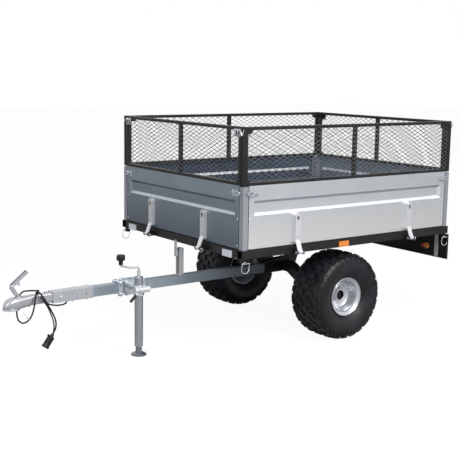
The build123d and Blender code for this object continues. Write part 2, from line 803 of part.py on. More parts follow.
# Tip latch post on the drawbar, with its toggle hook ahead of the bed's front rail
post_front = front - post_back
channel = block(post_front - post_deep, post_front, -post_wide / 2, post_wide / 2, bar_high, post_top)
channel = channel - block(
    post_front - post_deep + post_sheet, front, -post_wide / 2 + post_sheet, post_wide / 2 - post_sheet,
    bar_high + 2 * post_sheet, post_top + 1,
)
save(channel, "tip_post")
hook_z = post_top - hook_drop
hook = plate(
    [
        (front - 12, -hook_wide / 2, hook_z), (front + 14, -hook_wide / 2, hook_z),
        (front + 14, -hook_wide / 2, hinge_height + 3), (front + 4, -hook_wide / 2, hinge_height + 3),
        (front + 4, -hook_wide / 2, hook_z + 40), (front - 12, -hook_wide / 2, hook_z + 30),
    ],
    (0, 1, 0), hook_wide,
)
pin_half = post_wide / 2 - post_sheet
hook_pin = rod((front - 14, -pin_half, hook_z + 15), (front - 14, pin_half, hook_z + 15), 5)
save(hook + hook_pin, "tip_latch")


def tyre_pitch():
    """One flat-faced pitch of a balloon tyre about Z. It carries staggered, skewed blocks across the tread
    and a lug over each shoulder, and the blocks' tops are as far out as the tyre's radius."""
    half = tyre_width / 2
    step = radians(360 / tread_pitches)
    bead_y = rim_width / 2 - rim_seat - fit
    base = tyre_radius - tread_depth
    reach = base * 1.05 * tan(step / 2) + 1
    section = Polyline(
        (tyre_bead, -bead_y), (rim_flange + 2, -bead_y), (rim_flange + 24, -half + 12),
        (tyre_bead + tyre_flank, -half + 3), (base - shoulder_drop, -half + shoulder_inset),
        (base, -half + crown_inset), (base, half - crown_inset),
        (base - shoulder_drop, half - shoulder_inset), (tyre_bead + tyre_flank, half - 3),
        (rim_flange + 24, half - 12), (rim_flange + 2, bead_y), (tyre_bead, bead_y), close=True,
    )
    far = tyre_radius * 1.2
    wedge = plate(
        [(0, 0, -half - 5), (far, -far * tan(step / 2), -half - 5), (far, far * tan(step / 2), -half - 5)],
        (0, 0, 1), tyre_width + 10,
    )
    pitch = extrude(Plane.XZ * make_face(section), amount=reach, both=True) & wedge
    # Blocks: start and end across the tread, and which way each is set off round the tyre
    root = base - bury
    for near, end, way in tread_rows:
        left, right = way * tread_stagger - tread_block / 2, way * tread_stagger + tread_block / 2
        skew = way * tread_skew
        outline = [
            (root, left - skew, near), (root, right - skew, near),
            (root, right + skew, end), (root, left + skew, end),
        ]
        pitch = pitch + plate(outline, (1, 0, 0), tread_depth + bury)
    for way in (-1, 1):
        profile = [
            (tyre_radius, lug_root), (tyre_radius - 12, 20), (tyre_radius - lug_drop + 10, 0),
            (tyre_radius - lug_drop, 0), (tyre_radius - lug_drop + 6, 24), (root, lug_root),
        ]
        lug = [(x, -tread_block / 2, way * (half - inset)) for x, inset in profile]
        pitch = pitch + plate(lug, (0, 1, 0), tread_block)
    return pitch


def rim():
    """A stepped, deep-dished rim about Z, with rolled flanges, drop-centre steps and a disc to the hub."""
    half = rim_width / 2
    seat = tyre_bead - fit
    inner = seat - rim_wall
    bore = hub_radius + fit
    bead = half - rim_seat
    slope = bead - rim_slope
    well = inner - rim_step
    disc_low = rim_disc_set - rim_disc_rise
    profile = Polyline(
        (seat, -bead), (seat - rim_step, -slope), (seat - rim_step, slope), (seat, bead),
        (rim_flange - 3, bead + 2), (rim_flange, half), (rim_flange - rim_lip, half), (inner, bead + 2),
        (well, slope + 2), (well, rim_disc_set), (bore, disc_low), (bore, disc_low - rim_disc_wall),
        (well, rim_disc_set - rim_disc_wall), (well, -slope - 2), (inner, -bead - 2),
        (rim_flange - rim_lip, -half), (rim_flange, -half), (rim_flange - 3, -bead - 2), close=True,
    )
    return revolve(Plane.XZ * make_face(profile), axis=Axis.Z)


def hub():
    """A hub about Z, bored for the axle's stub, with a wide recess in its outer end."""
    body = Pos(0, 0, -hub_half) * Cylinder(hub_radius, 2 * hub_half, align=AXIAL)
    bore = Pos(0, 0, -hub_half - 1) * Cylinder(stub_radius + fit, 2 * hub_half, align=AXIAL)
    recess = Pos(0, 0, hub_floor) * Cylinder(hub_bore, hub_half, align=AXIAL)
    return body - bore - recess


# Wheels: tyre, rim and hub on each side. A tyre stands on the flat of its lowest pitch
one_pitch, one_rim, one_hub = tyre_pitch(), rim(), hub()
turns = [Rot(0, 0, 360 / tread_pitches * index) * one_pitch for index in range(tread_pitches)]
one_tyre = turns[0].fuse(*turns[1:])
for side, way in (("left", 1), ("right", -1)):
    seat = Pos(axle_x, way * wheel_y, axle_z) * Rot(-90 * way, 0, 0)
    for shape, name in ((one_tyre, "tyre"), (one_rim, "rim"), (one_hub, "hub")):
        save(seat * shape, f"{side}_{name}")

# Reflectors on the frame
white_low = frame_bottom - 2
white = [
    block(
        front + fit, front + reflector_sheet,
        way * white_place - white_length / 2, way * white_place + white_length / 2,
        white_low, white_low + white_height,
    )
    for way in (-1, 1)
]
save(Compound(children=white), "white_reflectors")
amber = []
for way in (-1, 1):
    faces_y = sorted((way * (half_width + fit), way * (half_width + fit + reflector_sheet)))
    amber_low = frame_bottom + reflector_low
    amber_x = front - amber_back
    x0, x1 = amber_x - amber_length / 2, amber_x + amber_length / 2
    amber.append(block(x0, x1, *faces_y, amber_low, amber_low + amber_height))
save(Compound(children=amber), "amber_reflectors")

# Light board under the rear of the frame, with its strips and lamps
board_x = rear - board_back
board = block(board_x, board_x + board_depth, -half_width, half_width, board_low, board_high)
board = board - block(
    board_x + board_sheet, board_x + board_depth + 1, -half_width + board_sheet, half_width - board_sheet,
    board_low + board_sheet, board_high - board_sheet,
)
save(board, "light_board")
strip_x = board_x + board_depth + fit
strips = [
    block(
        strip_x, strip_x + post_sheet, way * strip_place - strip_wide / 2, way * strip_place + strip_wide / 2,
        board_low + strip_rise, frame_bottom - fit,
    )
    for way in (-1, 1)
]
save(Compound(children=strips), "board_strips")
lamps = []
for way in (-1, 1):
    for at in lamp_places:
        face = (board_x - lamp_depth, way * at, lamp_height)
        groove_end = (board_x - lamp_depth + lamp_bezel, way * at, lamp_height)
        lamp = rod((board_x - fit, way * at, lamp_height), face, lamp_radius)
        groove = rod(face, groove_end, lamp_radius - lamp_bezel)
        lens = rod(face, groove_end, lamp_radius - 2 * lamp_bezel)
        lamps.append(lamp - (groove - lens))
save(Compound(children=lamps), "tail_lamps")

# Plug cord: under the sleeve, round the coupling's neck, and down to the plug
cord_radius = 4.5
plug_radius = 22.0
plug_length = 84.0
cord_points = [
    (front + 730, 0, sleeve_low), (front + 730, 0, 311), (front + 748, -2, 303), (front + 785, -6, 301),
    (front + 822, -17, 308), (front + 850, -37, 324), (front + 868, -46, 352), (front + 882, -43, 385),
    (front + 895, -24, 399), (front + 909, 2, 400), (front + 923, 27, 397), (front + 934, 41, 374),
    (front + 943, 42, 330), (front + 955, 40, 280), (front + 976, 26, 243), (front + 998, 0, 230),
    (front + 1010, -27, 246), (front + 1010, -43, 284), (front + 1001, -50, 330), (front + 990, -48, 374),
    (front + 978, -32, 401), (front + 961, -6, 406), (front + 940, 18, 411), (front + 918, 38, 408),
    (front + 899, 50, 382), (front + 873, 51, 336), (front + 846, 47, 290), (front + 822, 45, 243),
    (front + 817, 45, 208), (front + 824, 45, 179), (front + 839, 45, 158),
]
cord_turns = []
for before, at, after in zip(cord_points, cord_points[1:], cord_points[2:]):
    run_in = Vector(*at) - Vector(*before)
    run_out = Vector(*after) - Vector(*at)
    turn = radians(run_in.get_angle(run_out))
    cord_turns.append(0.45 * min(run_in.length, run_out.length) / tan(turn / 2))
print("cord radii", [round(radius) for radius in cord_turns])
cord_path = FilletPolyline(*cord_points, radius=cord_turns)
cord_start = Plane(origin=cord_points[0], z_dir=Vector(*cord_points[1]) - Vector(*cord_points[0]))
cord = sweep(cord_start * Circle(cord_radius), path=cord_path)
save(cord, "plug_cord")
swept = pi * cord_radius**2 * cord_path.length
print("cord length", round(cord_path.length), "volume ratio", round(cord.volume / swept, 4))
plug_axis = Vector(*cord_points[-1]) - Vector(*cord_points[-2])
plug_top = Vector(*cord_points[-1])
plug_end = plug_top + plug_axis.normalized() * plug_length
save(rod(tuple(plug_top), tuple(plug_end), plug_radius), "plug")

print("front", front, "rear", rear, "axle", axle_x, "pivot", pivot_x, "jack", jack_x, "ball", ball_x)
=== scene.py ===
import json
import math

import bmesh
import bpy
import numpy as np
from mathutils import Matrix, Vector


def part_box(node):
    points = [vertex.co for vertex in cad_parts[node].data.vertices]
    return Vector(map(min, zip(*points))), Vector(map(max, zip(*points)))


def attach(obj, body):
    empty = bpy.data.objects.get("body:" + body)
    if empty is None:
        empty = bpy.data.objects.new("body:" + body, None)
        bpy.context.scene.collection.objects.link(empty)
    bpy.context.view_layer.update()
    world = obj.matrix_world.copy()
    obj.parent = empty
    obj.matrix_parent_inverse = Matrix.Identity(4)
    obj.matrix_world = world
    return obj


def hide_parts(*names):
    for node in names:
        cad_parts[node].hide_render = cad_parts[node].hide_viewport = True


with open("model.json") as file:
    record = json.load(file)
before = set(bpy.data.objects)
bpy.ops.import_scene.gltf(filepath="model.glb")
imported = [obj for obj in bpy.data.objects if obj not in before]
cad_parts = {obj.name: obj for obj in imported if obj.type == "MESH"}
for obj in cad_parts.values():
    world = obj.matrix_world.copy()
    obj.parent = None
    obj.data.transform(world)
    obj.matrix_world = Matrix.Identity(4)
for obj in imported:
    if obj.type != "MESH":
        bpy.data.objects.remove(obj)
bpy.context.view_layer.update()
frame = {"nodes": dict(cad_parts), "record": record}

# Sizes in metres, read from the frame's boxes where a node gives them
bed_low, bed_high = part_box("bed_rails")
front, rear = bed_high.x, bed_low.x
half_width = bed_high.y
frame_top = bed_high.z
middle = (front + rear) / 2
panel_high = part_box("left_panel")[1]
panel_inset = half_width - panel_high.y
panel_top = panel_high.z
side_face = panel_high.y
end_face = front - panel_inset - middle
mesh_low, mesh_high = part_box("left_mesh")
mesh_top = mesh_high.z
mesh_depth = mesh_high.y - mesh_low.y
mesh_post = 0.027
mesh_rail = 0.018
post_size = 0.034
panel_gap = 0.005
hinge_out = 0.037
hinge_z = 0.597
tyre_low, tyre_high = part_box("left_tyre")
axle_x = (tyre_low.x + tyre_high.x) / 2
wheel_y = (tyre_low.y + tyre_high.y) / 2
axle_z = tyre_high.z / 2
jack_low, jack_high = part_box("jack_tube")
jack_x, jack_y = (jack_low.x + jack_high.x) / 2, (jack_low.y + jack_high.y) / 2
sheet_foot_z, sheet_top_z = 0.66, 0.93


# Surfaces

def grid(points, wrap_u=False, wrap_v=False):
    """A surface from a grid of points (u, v, 3): each cell between neighbours is one face, and a wrapped way
    joins its last row back to its first."""
    count_u, count_v = points.shape[:2]
    index = np.arange(count_u * count_v).reshape(count_u, count_v)
    if wrap_u:
        index = np.vstack([index, index[:1]])
    if wrap_v:
        index = np.hstack([index, index[:, :1]])
    cells = np.stack([index[:-1, :-1], index[1:, :-1], index[1:, 1:], index[:-1, 1:]], -1)
    return points.reshape(-1, 3), cells.reshape(-1, 4).tolist()


def capped(rings):
    """Closed rings joined one to the next, with the first and the last closed flat."""
    points, faces = grid(rings, wrap_v=True)
    count = rings.shape[1]
    return points, faces + [list(range(count)), list(range(len(points) - count, len(points)))]


def joined(*shapes):
    """Several (points, faces) pairs as one, each one's faces counted on from the points before it."""
    points, faces, start = [], [], 0
    for some_points, some_faces in shapes:
        points.append(some_points)
        faces += [[start + i for i in face] for face in some_faces]
        start += len(some_points)
    return np.vstack(points), faces


def unit(vectors):
    """Each vector divided by its length."""
    return vectors / np.linalg.norm(vectors, axis=-1, keepdims=True)


def carry(path, outline, up=(0.0, 0.0, 1.0), closed=False, scale=None):
    """An outline carried along a path. At path point P an outline point (a, b) goes to P + a side + b over,
    where side is the unit of tangent x up, and over is side x tangent. The ends are closed flat."""
    path = np.asarray(path, float)
    outline = np.asarray(outline, float)
    if closed:
        tangent = np.roll(path, -1, 0) - np.roll(path, 1, 0)
    else:
        tangent = np.gradient(path, axis=0)
    tangent = unit(tangent)
    side = unit(np.cross(tangent, np.asarray(up, float)))
    over = np.cross(side, tangent)
    size = np.ones(len(path)) if scale is None else np.asarray(scale, float)
    spread = outline[None] * size[:, None, None]
    rings = path[:, None] + spread[:, :, :1] * side[:, None] + spread[:, :, 1:] * over[:, None]
    return grid(rings, wrap_u=True, wrap_v=True) if closed else capped(rings)


def circle(radius, count=12):
    """Points round a circle: (r cos t, r sin t)."""
    turn = np.arange(count) * 2 * np.pi / count
    return np.stack([radius * np.cos(turn), radius * np.sin(turn)], -1)


def arc(wide, tall, start, end, count):
    """Points along an arc: (a cos t, b sin t), from one angle to another."""
    turn = np.linspace(start, end, count)
    return np.stack([wide * np.cos(turn), tall * np.sin(turn)], -1)


def rounded_oblong(wide, tall, radius, steps=4):
    """A rectangle with round corners: each corner is a quarter circle about a centre set in by its radius."""
    radius = min(radius, wide / 2 - 1e-6, tall / 2 - 1e-6)
    corner = arc(radius, radius, 0, np.pi / 2, steps)
    corners = []
    for quarter, (sx, sy) in enumerate(((1, 1), (-1, 1), (-1, -1), (1, -1))):
        c, s = math.cos(quarter * math.pi / 2), math.sin(quarter * math.pi / 2)
        quadrant = corner @ np.array([[c, s], [-s, c]])
        corners.append(quadrant + [sx * (wide / 2 - radius), sy * (tall / 2 - radius)])
    return np.vstack(corners)


def softened(points, passes=2, closed=False):
    """Cuts a path's corners: each pass puts two points in place of one, a quarter of the way along each run
    beside it. An open path keeps its ends."""
    points = np.asarray(points, float)
    for _ in range(passes):
        after = np.roll(points, -1, 0) if closed else points[1:]
        before = points if closed else points[:-1]
        cut = np.stack([0.75 * before + 0.25 * after, 0.25 * before + 0.75 * after], 1)
        cut = cut.reshape(-1, points.shape[1])
        points = cut if closed else np.vstack([points[:1], cut[1:-1], points[-1:]])
    return points


def turned(profile, centre, axis=(0.0, 0.0, 1.0), count=48, loop=False):
    """A profile of (radius, height) turned about an axis: a point at angle t goes to
    centre + r (cos t e1 + sin t e2) + h axis. A profile that starts or ends on the axis is closed there, and
    one that is a loop joins its end to its start."""
    profile = np.asarray(profile, float)
    axis = unit(np.asarray(axis, float))
    first = unit(np.cross(axis, [0.31, 0.95, 0.05] if abs(axis[1]) < 0.9 else [1.0, 0.0, 0.0]))
    second = np.cross(axis, first)
    t = np.arange(count) * 2 * np.pi / count
    round_axis = np.cos(t)[:, None] * first + np.sin(t)[:, None] * second
    points = np.asarray(centre, float) + profile[:, None, :1] * round_axis[None] + profile[:, None, 1:] * axis
    return grid(points, wrap_u=loop, wrap_v=True)


def slab(outline, thick, at):
    """A flat outline (a, b) given a thickness: its points stand at (x + a, y, z + b), and again with the
    thickness added to y."""
    outline = np.asarray(outline, float)
    flat = np.stack([outline[:, 0], np.zeros(len(outline)), outline[:, 1]], -1) + at
    return capped(np.stack([flat, flat + [0, thick, 0]]))


def side_place(centre, turn):
    """A function from a side's own (along, out, z) to the frame: a turn about Z, then a move to its
    centre."""
    c, s = math.cos(math.radians(turn)), math.sin(math.radians(turn))

    def place(points):
        along, out, z = np.asarray(points, float).T
        return np.stack([centre[0] + c * along - s * out, centre[1] + s * along + c * out, z], -1)

    return place


# The four sides: name, body, place by the middle of the outer face and a turn, length, spread of the straps
sides = [
    ("front", "front_drop", side_place((middle + end_face, 0.0), -90), 2 * side_face, 0.28),
    ("left", "left_drop", side_place((middle, side_face), 0), 2 * end_face, 0.45),
    ("right", "right_drop", side_place((middle, -side_face), 180), 2 * end_face, 0.45),
    ("tailgate", "tailgate_drop", side_place((middle - end_face, 0.0), 90), 2 * side_face, 0.28),
]


def closed_mesh(name, shape):
    """A mesh from (points, faces), with its doubled points merged and its faces turned outwards."""
    mesh = bpy.data.meshes.new(name)
    mesh.from_pydata(shape[0].tolist(), [], shape[1])
    work = bmesh.new()
    work.from_mesh(mesh)
    bmesh.ops.remove_doubles(work, verts=work.verts, dist=1e-6)
    bmesh.ops.recalc_face_normals(work, faces=work.faces)
    work.to_mesh(mesh)
    work.free()
    return mesh


def stand(name, data):
    """A new object in the scene, with the given mesh, curve, lamp or camera."""
    made = bpy.data.objects.new(name, data)
    bpy.context.scene.collection.objects.link(made)
    return made


def piece(name, shapes, body, finish, place=None, replaces=(), smooth=True, angle=35):
    """Makes one named piece from a list of (points, faces), with its finish and its body. Where place is
    given, it puts shapes made in a side's own measures into the frame."""
    points, faces = joined(*shapes)
    mesh = closed_mesh(name, (place(points) if place else points, faces))
    mesh.polygons.foreach_set("use_smooth", np.full(len(mesh.polygons), smooth))
    if smooth:
        mesh.set_sharp_from_angle(angle=math.radians(angle))
    made = stand(name, mesh)
    mesh.materials.append(finish)
    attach(made, body)
    if replaces:
        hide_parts(*replaces)
    return made


# Shader groups

def new_group(name, inputs, outputs):
    """A shader node group of plain values: its inputs by name with their values, and its outputs' names."""
    group = bpy.data.node_groups.new(name, "ShaderNodeTree")
    for label, value in inputs.items():
        socket = group.interface.new_socket(label, in_out="INPUT", socket_type="NodeSocketFloat")
        socket.default_value = value
    for label in outputs:
        group.interface.new_socket(label, in_out="OUTPUT", socket_type="NodeSocketFloat")
    return group, group.nodes.new("NodeGroupInput"), group.nodes.new("NodeGroupOutput")


def feed(tree, value, socket):
    """Gives a socket a number, a colour or a vector, or joins it to another node's output."""
    if isinstance(value, bpy.types.NodeSocket):
        tree.links.new(value, socket)
    elif socket.type == "RGBA":
        socket.default_value = (*value, 1.0)
    else:
        socket.default_value = value


def node(tree, kind, **values):
    """Adds a node and sets its properties, and feeds its inputs where a value's name is a socket's, with an
    underscore for each space."""
    made = tree.nodes.new(kind)
    for label, value in values.items():
        if hasattr(made, label):
            setattr(made, label, value)
        else:
            feed(tree, value, made.inputs[label.replace("_", " ")])
    return made


def maths(tree, operation, *terms):
    """The result of a sum on numbers or other nodes' outputs."""
    made = node(tree, "ShaderNodeMath", operation=operation)
    for term, socket in zip(terms, made.inputs):
        feed(tree, term, socket)
    return made.outputs[0]


def ramp(tree, source, low, high, low_value=0.0, high_value=1.0):
    """One range of a value mapped to another, clamped."""
    ends = {"From_Min": low, "From_Max": high, "To_Min": low_value, "To_Max": high_value}
    return node(tree, "ShaderNodeMapRange", Value=source, **ends).outputs["Result"]


def blend_colour(tree, factor, first, second):
    """Mixes two colours by a factor. Each is another node's output or a colour."""
    made = node(tree, "ShaderNodeMix", data_type="RGBA")
    for value, socket in ((factor, made.inputs[0]), (first, made.inputs[6]), (second, made.inputs[7])):
        feed(tree, value, socket)
    return made.outputs[2]


def object_place(tree):
    """The place on the piece, which every pattern reads."""
    return node(tree, "ShaderNodeTexCoord").outputs["Object"]


def spangle_group():
    """Zinc crystals: cells some millimetres wide, each lighter or darker, over a slow cloudiness, and a fine
    grain for the bump."""
    group, enter, leave = new_group("zinc_spangle", {"Cell Scale": 60.0, "Contrast": 0.5}, ("Value", "Grain"))
    place = object_place(group)
    cells = node(group, "ShaderNodeTexVoronoi", Vector=place, Scale=enter.outputs["Cell Scale"])
    cloud = node(group, "ShaderNodeTexNoise", Vector=place, Scale=9.0, Detail=3.0)
    fine = node(group, "ShaderNodeTexNoise", Vector=place, Scale=420.0, Detail=2.0)
    cell_tone = node(group, "ShaderNodeSeparateColor", Color=cells.outputs["Color"]).outputs[0]
    cell_share, mean_tone = 0.45, 0.72
    tone = maths(group, "MULTIPLY_ADD", cell_tone, cell_share, cloud.outputs["Fac"])
    centred = maths(group, "SUBTRACT", tone, mean_tone)
    feed(group, maths(group, "MULTIPLY", centred, enter.outputs["Contrast"]), leave.inputs["Value"])
    feed(group, fine.outputs["Fac"], leave.inputs["Grain"])
    return group


def wear_group():
    """Dust and handling marks: a slow patchiness, scratches that are long in one direction, and a fine grain
    for the bump."""
    group, enter, leave = new_group(
        "dust_and_marks", {"Patch Scale": 7.0, "Grain Scale": 350.0}, ("Dust", "Marks", "Grain"),
    )
    place = object_place(group)
    patch_scale, grain_scale = enter.outputs["Patch Scale"], enter.outputs["Grain Scale"]
    patch = node(group, "ShaderNodeTexNoise", Vector=place, Scale=patch_scale, Detail=4.0, Roughness=0.6)
    grain = node(group, "ShaderNodeTexNoise", Vector=place, Scale=grain_scale, Detail=2.0)
    drawn_out = node(group, "ShaderNodeMapping", Vector=place, Scale=(6.0, 6.0, 90.0)).outputs["Vector"]
    marks = node(group, "ShaderNodeTexNoise", Vector=drawn_out, Scale=3.0, Detail=5.0, Roughness=0.7)
    feed(group, ramp(group, patch.outputs["Fac"], 0.45, 0.75), leave.inputs["Dust"])
    feed(group, ramp(group, marks.outputs["Fac"], 0.55, 0.8), leave.inputs["Marks"])
    feed(group, grain.outputs["Fac"], leave.inputs["Grain"])
    return group


def painted_light_group():
    """Masks of painted light and shade on the bed's sheets. Inside is where y times the normal's y is below
    nothing, on the faces that look across the bed, and lays painted shade there. Foot goes from nothing at
    the sheets' top edge to one at their foot, by height, and lays light painted by height. Ledge is where
    the normal's z is well above nothing, for a painted highlight, and Eave where it is well below, for
    painted shade."""
    group, _, leave = new_group("sheet_painted_light", {}, ("Inside", "Foot", "Ledge", "Eave"))
    place = node(group, "ShaderNodeTexCoord").outputs
    at = node(group, "ShaderNodeSeparateXYZ", Vector=place["Object"]).outputs
    way = node(group, "ShaderNodeSeparateXYZ", Vector=place["Normal"]).outputs
    inward = maths(group, "MULTIPLY", at["Y"], way["Y"])
    for name, source, low, high in (
        ("Inside", inward, -0.05, -0.35), ("Foot", at["Z"], sheet_top_z, sheet_foot_z),
        ("Ledge", way["Z"], 0.15, 0.45), ("Eave", way["Z"], -0.15, -0.45),
    ):
        feed(group, ramp(group, source, low, high), leave.inputs[name])
    return group


spangle = spangle_group()
wear = wear_group()
painted_light_masks = painted_light_group()


def new_material(name, colour, **settings):
    """A material with one Principled shader, and the plain values that are the same all over it."""
    made = bpy.data.materials.new(name)
    made.use_nodes = True
    shader = made.node_tree.nodes["Principled BSDF"]
    shader.inputs["Base Color"].default_value = (*colour, 1.0)
    for label, value in settings.items():
        shader.inputs[label.replace("_", " ")].default_value = value
    made.diffuse_color = (*colour, 1.0)
    return made, made.node_tree, shader


def add_bump(tree, shader, height, strength, distance):
    """Feeds a height to the shader's normal."""
    bump = node(tree, "ShaderNodeBump", Height=height, Strength=strength, Distance=distance)
    feed(tree, bump.outputs["Normal"], shader.inputs["Normal"])


def zinc(name, dark, light, metallic, rough, cell_scale, contrast, rough_spread=0.18, faces=()):
    """Zinc-coated steel: crystals that differ in tone and gloss, with a fine bump. Faces gives the sheet's
    painted light and shade: colours laid where the sheets' light masks are one, over each other in
    their order."""
    made, tree, shader = new_material(name, light, Metallic=metallic, Roughness=rough)
    crystals = node(tree, "ShaderNodeGroup", node_tree=spangle, Cell_Scale=cell_scale, Contrast=contrast)
    tone, reach = crystals.outputs["Value"], 0.35
    colour = blend_colour(tree, ramp(tree, tone, -reach, reach), dark, light)
    if faces:
        masks = node(tree, "ShaderNodeGroup", node_tree=painted_light_masks).outputs
        for mask, other in faces:
            colour = blend_colour(tree, masks[mask], colour, other)
    feed(tree, colour, shader.inputs["Base Color"])
    gloss = ramp(tree, tone, -reach, reach, rough - rough_spread / 2, rough + rough_spread / 2)
    feed(tree, gloss, shader.inputs["Roughness"])
    add_bump(tree, shader, crystals.outputs["Grain"], 0.12, 0.0005)
    return made


def coated(name, colour, dusty, rough, grain_scale, bump, specular=0.4, patch_scale=6.0, dust=0.5):
    """A coated or moulded surface: fine orange-peel bump, a little dust in patches and duller marks."""
    made, tree, shader = new_material(name, colour, Roughness=rough, Specular_IOR_Level=specular)
    marks = node(tree, "ShaderNodeGroup", node_tree=wear, Patch_Scale=patch_scale, Grain_Scale=grain_scale)
    amount = maths(tree, "MULTIPLY", marks.outputs["Dust"], dust)
    feed(tree, blend_colour(tree, amount, colour, dusty), shader.inputs["Base Color"])
    marked_rough = min(1.0, rough + 0.22)
    feed(tree, ramp(tree, marks.outputs["Marks"], 0.0, 1.0, rough, marked_rough), shader.inputs["Roughness"])
    add_bump(tree, shader, marks.outputs["Grain"], bump, 0.0006)
    return made


def lens(name, colour, deep, pitch):
    """A moulded lens or reflector: a field of small prisms under a smooth clear face."""
    made, tree, shader = new_material(name, colour, Roughness=0.18, Coat_Weight=1.0, Coat_Roughness=0.05)
    prisms = node(tree, "ShaderNodeTexVoronoi", Vector=object_place(tree), Scale=1.0 / pitch, Randomness=0.0)
    depth = prisms.outputs["Distance"]
    feed(tree, blend_colour(tree, ramp(tree, depth, 0.1, 0.7), colour, deep), shader.inputs["Base Color"])
    add_bump(tree, shader, depth, 0.35, 0.0008)
    return made


# Finishes: dark and light colour, metallic, roughness, crystals to a metre, contrast and spread of roughness
galvanised = zinc("galvanised_sheet", (0.58, 0.585, 0.59), (0.64, 0.645, 0.65), 0.7, 0.4, 120.0, 0.6, 0.08)
# Side sheets: the zinc sheet with painted light laid over it: lighter towards the foot, painted shade on the
# faces inside the bed, a painted highlight on faces that look up and painted shade under faces that look
# down.
galvanised_side_painted_light = zinc(
    "galvanised_sheet_sides_painted_light", (0.52, 0.55, 0.58), (0.59, 0.62, 0.65), 0.7, 0.38, 120.0, 0.6, 0.08,
    faces=(
        ("Foot", (0.69, 0.69, 0.69)), ("Inside", (0.065, 0.088, 0.13)), ("Ledge", (0.9, 0.91, 0.92)),
        ("Eave", (0.28, 0.33, 0.38)),
    ),
)
# End sheets: a darker, bluer copy of the zinc sheet, painted shade for the dark surroundings that they
# reflect, with painted light over it: darker towards the foot, a painted highlight on faces that look up and
# painted shade under faces that look down.
galvanised_end_shaded = zinc(
    "galvanised_sheet_ends_shaded", (0.25, 0.295, 0.345), (0.3, 0.345, 0.395), 0.62, 0.36, 90.0, 0.7, 0.1,
    faces=(("Foot", (0.15, 0.18, 0.215)), ("Ledge", (0.55, 0.6, 0.66)), ("Eave", (0.1, 0.13, 0.17))),
)
# The bed's floor: a darker, bluer copy of the zinc sheet, painted shade for the inside of the bed.
galvanised_shaded = zinc(
    "galvanised_sheet_shaded", (0.2, 0.235, 0.29), (0.26, 0.295, 0.35), 0.75, 0.38, 100.0, 0.7, 0.1,
)
strap_zinc = zinc("galvanised_straps", (0.64, 0.65, 0.67), (0.76, 0.77, 0.79), 0.62, 0.36, 180.0, 0.7, 0.1)
sleeve_zinc = zinc(
    "galvanised_sleeve", (0.46, 0.475, 0.5), (0.53, 0.545, 0.57), 0.7, 0.38, 120.0, 0.6, 0.08,
)
galvanised_post = zinc(
    "galvanised_posts", (0.36, 0.38, 0.41), (0.42, 0.44, 0.47), 0.72, 0.36, 120.0, 0.6, 0.08,
)
cast_zinc = zinc("galvanised_castings", (0.4, 0.41, 0.44), (0.54, 0.55, 0.58), 0.78, 0.32, 180.0, 0.8, 0.12)
leg_steel = zinc("jack_leg_steel", (0.21, 0.23, 0.25), (0.28, 0.3, 0.32), 0.85, 0.32, 140.0, 0.6, 0.06)
tube_steel = zinc("jack_tube_steel", (0.32, 0.35, 0.38), (0.4, 0.43, 0.46), 0.85, 0.3, 140.0, 0.6, 0.06)
drawbar_zinc = zinc(
    "galvanised_drawbar", (0.27, 0.32, 0.37), (0.34, 0.39, 0.44), 0.65, 0.4, 120.0, 0.6, 0.08,
)
fittings = zinc("zinc_fittings_steel", (0.46, 0.5, 0.55), (0.66, 0.7, 0.75), 0.8, 0.32, 160.0, 0.7)
wire_steel = zinc("bright_wire_steel", (0.6, 0.61, 0.63), (0.8, 0.81, 0.82), 0.85, 0.26, 300.0, 0.5)
mesh_steel = zinc("mesh_strand_steel", (0.11, 0.115, 0.12), (0.24, 0.245, 0.25), 0.55, 0.42, 90.0, 1.0)
rim_paint = zinc("rim_silver_paint", (0.46, 0.47, 0.5), (0.6, 0.61, 0.64), 0.8, 0.3, 220.0, 0.5)
# Finishes: plain and dusty colour, roughness, grains to a metre, bump, specular, patches to a metre and dust
powder = coated("black_powder_coat", (0.008, 0.007, 0.008), (0.03, 0.028, 0.031), 0.38, 620.0, 0.25, 0.35)
# The tyre's dusty colour is blue grey: its patches are partly dust and partly a painted sheen of light on the
# rubber.
rubber = coated(
    "tyre_rubber_black", (0.004, 0.004, 0.005), (0.026, 0.031, 0.042), 0.48, 260.0, 0.35, 0.32, 5.0, 0.7,
)
plastic = coated(
    "black_moulded_plastic", (0.005, 0.005, 0.006), (0.018, 0.018, 0.022), 0.42, 500.0, 0.15, 0.35,
)
jacket = coated("cord_jacket_black", (0.004, 0.004, 0.005), (0.012, 0.012, 0.014), 0.4, 700.0, 0.12, 0.35)
tie_plastic = coated("pale_tie_plastic", (0.62, 0.6, 0.55), (0.75, 0.73, 0.7), 0.5, 400.0, 0.1)
# Black for painted shade in the sleeve's holes and the hub's bore, and the valve stem's own black.
hole_shade_and_valve_black = coated("painted_hole_shade_and_valve_black", (0.006, 0.006, 0.007), (0.02, 0.02, 0.02), 0.55, 300.0, 0.2)
white_lens = lens("white_reflector_lens", (0.86, 0.87, 0.92), (0.7, 0.72, 0.8), 0.004)
amber_lens = lens("amber_reflector_lens", (0.9, 0.32, 0.04), (0.62, 0.16, 0.01), 0.004)
red_lens = lens("red_lamp_lens", (0.52, 0.015, 0.012), (0.25, 0.005, 0.004), 0.005)

slots = {
    "galvanised": galvanised, "zinc_fittings": fittings, "black_powder": powder, "rim_silver": rim_paint,
    "tyre_rubber": rubber, "black_plastic": plastic, "cord_jacket": jacket, "white_lens": white_lens,
    "amber_lens": amber_lens, "red_lens": red_lens,
}

